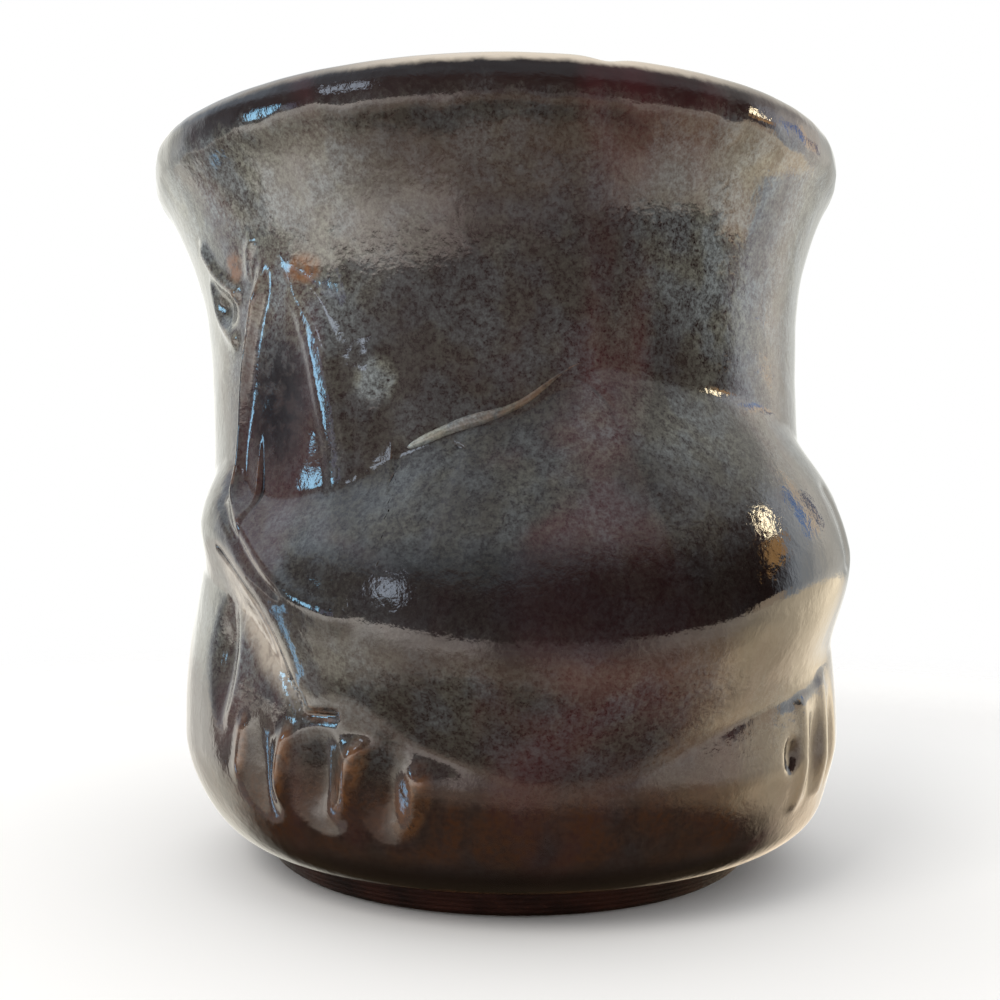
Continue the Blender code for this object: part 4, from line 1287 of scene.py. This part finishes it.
def make_bare_clay():
    """Bare fired clay of the foot: red-brown, sandy, with darker scorched patches and fine turning lines.

    Its top, under the cup, is painted near-black as shade.
    """
    material, finish = new_finish("bare_clay")
    place, _, height = wall_place(finish)
    turned = finish.stretch(place, 1, 1, TURNING_STRETCH)
    grain = finish.noise(place, *CLAY_GRAIN)
    patch = finish.noise(place, *CLAY_PATCH)
    lines = finish.noise(turned, *TURNING_LINES)
    colour = finish.mix(finish.ramp(patch, 0.35, 0.65), CLAY_RED, CLAY_DARK)
    colour = finish.mix(finish.ramp(grain, 0.55, 0.75) * 0.5, colour, CLAY_SAND)
    # Painted shade: near-black towards the foot's top, under the cup's edge
    colour = finish.mix(finish.ramp(height, *PAINTED_SHADE_UNDER_CUP) * 0.8, colour, NEAR_BLACK)
    bump = finish.node("ShaderNodeBump", {}, {**CLAY_BUMP, "Height": grain * 0.5 + lines * 0.5})
    shader = finish.node("ShaderNodeBsdfPrincipled", {}, {
        "Base Color": colour, "Roughness": 0.5 + finish.ramp(grain, 0.3, 0.7) * 0.25,
        "Specular IOR Level": 0.2, "Normal": bump})
    add_output(finish, shader)
    return material


def make_floor():
    """Pale round floor just under the foot, fading out into the white background."""
    a = np.linspace(0, math.tau, FLOOR_SIDES, endpoint=False)
    radii = FLOOR_RADIUS * np.array(FLOOR_RINGS)[:, None]
    rings = np.stack(np.broadcast_arrays(radii * np.cos(a), radii * np.sin(a), FLOOR_LEVEL), axis=-1)
    rings = np.concatenate([rings, rings[::-1] - (0, 0, MM)])
    floor = ringed("floor", rings[::-1])
    material, finish = new_finish("floor")
    place, _, _ = wall_place(finish)
    away = finish.node("ShaderNodeVectorMath", {"operation": "LENGTH"}, {0: place}, output="Value")
    paper = finish.node("ShaderNodeBsdfDiffuse", {}, {"Color": (*FLOOR_COLOUR, 1)})
    clear = finish.node("ShaderNodeBsdfTransparent", {}, {})
    fade = finish.ramp(away, *[share * FLOOR_RADIUS for share in FLOOR_FADE])
    add_output(finish, finish.node("ShaderNodeMixShader", {}, {0: fade, 1: paper, 2: clear}))
    floor.data.materials.append(material)
    floor.visible_glossy = False


def card_light(finish, azimuth, rise_angle):
    """Brightness and colour of the studio by direction: tables one above another, then the smaller cards."""
    share = (azimuth + 180) / 360
    walls, ceiling, far, near = [finish.node("ShaderNodeValToRGB", {
        "stops": [((180 + where) / 360, colour) for where, colour in table]}, {0: share})
        for table in (WALL_CARDS, CEILING_CARDS, FAR_TABLE, NEAR_TABLE)]
    light = walls
    starts = (CEILING_FROM, FAR_FROM, NEAR_FROM, SHADE_FROM)
    for start, card in zip(starts, (ceiling, far, near, SHADE_CARD)):
        light = finish.mix(finish.ramp(rise_angle, *start), light, card)
    for centre, half, colour in CARD_LIGHTS:
        across, up = [
            finish.ramp(finish.math("ABSOLUTE", way - middle), *[size * edge for edge in CARD_EDGE])
            for way, middle, size in zip((azimuth, rise_angle), centre, half)]
        light = finish.mix(across * up, light, colour)
    return light


def make_cards():
    """Shell of studio cards that only gloss reflects: pale ceiling and sides, dark front, windows."""
    turn = np.linspace(CARD_POLE, math.pi - CARD_POLE, CARD_GRID[0])[:, None]
    a = np.linspace(0, math.tau, CARD_GRID[1], endpoint=False)
    rings = CARD_DISTANCE * np.stack(np.broadcast_arrays(
        np.sin(turn) * np.cos(a), np.sin(turn) * np.sin(a), np.cos(turn)), axis=-1)
    cards = ringed("cards", rings)
    for kind in ("camera", "diffuse", "transmission", "shadow", "volume_scatter"):
        setattr(cards, "visible_" + kind, False)
    material, finish = new_finish("cards")
    place, azimuth, height = wall_place(finish)
    rise_angle = finish.math("ARCSINE", height * MM / CARD_DISTANCE) * math.degrees(1)
    uneven = 0.35 + finish.noise(place, *CARD_CLOUDS) * 1.3
    light = card_light(finish, azimuth, rise_angle)
    add_output(finish, finish.node("ShaderNodeEmission", {}, {"Color": light, "Strength": uneven}))
    cards.data.materials.append(material)


def make_world():
    """Plain white background at strength 1, which is also the even light round the mug."""
    world = bpy.data.worlds.new("studio")
    world.use_nodes = True
    finish = Finish(world.node_tree)
    background = finish.node("ShaderNodeBackground", {}, {"Color": (1, 1, 1, 1), "Strength": 1.0})
    add_output(finish, background, "ShaderNodeOutputWorld")
    bpy.context.scene.world = world


def add_lamp():
    """Soft square lamp that looks at the middle of the mug and isn't seen in the gloss."""
    data = bpy.data.lights.new("key", "AREA")
    data.size = LAMP_SIZE
    data.energy = LAMP_POWER
    data.color = LAMP_COLOUR
    lamp = bpy.data.objects.new("key", data)
    bpy.context.collection.objects.link(lamp)
    lamp.location = LAMP_PLACE
    lamp.rotation_euler = (Vector((0, 0, CUP_HEIGHT / 2)) - lamp.location).to_track_quat("-Z", "Y").to_euler()
    lamp.visible_glossy = False
    lamp.visible_camera = False


def make_camera():
    """Upright camera straight in front, at about the middle of the mug's height."""
    data = bpy.data.cameras.new("camera")
    data.sensor_width = SENSOR
    data.lens = CAMERA_FOCUS * SENSOR
    data.shift_x = CAMERA_SHIFT[0]
    data.shift_y = CAMERA_SHIFT[1]
    data.clip_start = CAMERA_NEAR
    camera = bpy.data.objects.new("camera", data)
    bpy.context.collection.objects.link(camera)
    camera.location = CAMERA_PLACE
    camera.rotation_euler = (math.pi / 2, 0, 0)
    bpy.context.scene.camera = camera


def main():
    """Makes every piece of the mug, dresses it, and sets it in the studio."""
    glaze = make_glaze()
    bare_clay = make_bare_clay()
    dressed = [
        (make_cup(), "cup_wall", "dark_glaze", glaze),
        (make_body(), "fish_body", "hazy_glaze", glaze),
        (make_head(), "fish_head", "hazy_glaze", glaze),
        (make_tail(), "tail_fin", "hazy_glaze", glaze),
        (make_back_coil(), "back_fin", "hazy_glaze", glaze),
        (make_mouth_lip("mouth_upper", 1), "upper_lip", "hazy_glaze", glaze),
        (make_mouth_lip("mouth_lower", -1), "lower_lip", "hazy_glaze", glaze),
        (make_eye(), "eye", "dark_glaze", glaze),
        (make_handle(), "handle", "dark_glaze", glaze),
        (make_foot(), "foot", "bare_clay", bare_clay),
    ]
    for piece, node, slot, material in dressed:
        piece.data.materials.append(material)
        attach(piece, "root")
        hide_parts(node)
    make_floor()
    make_cards()
    make_world()
    add_lamp()
    make_camera()
    bpy.context.scene.view_settings.view_transform = "Standard"


main()
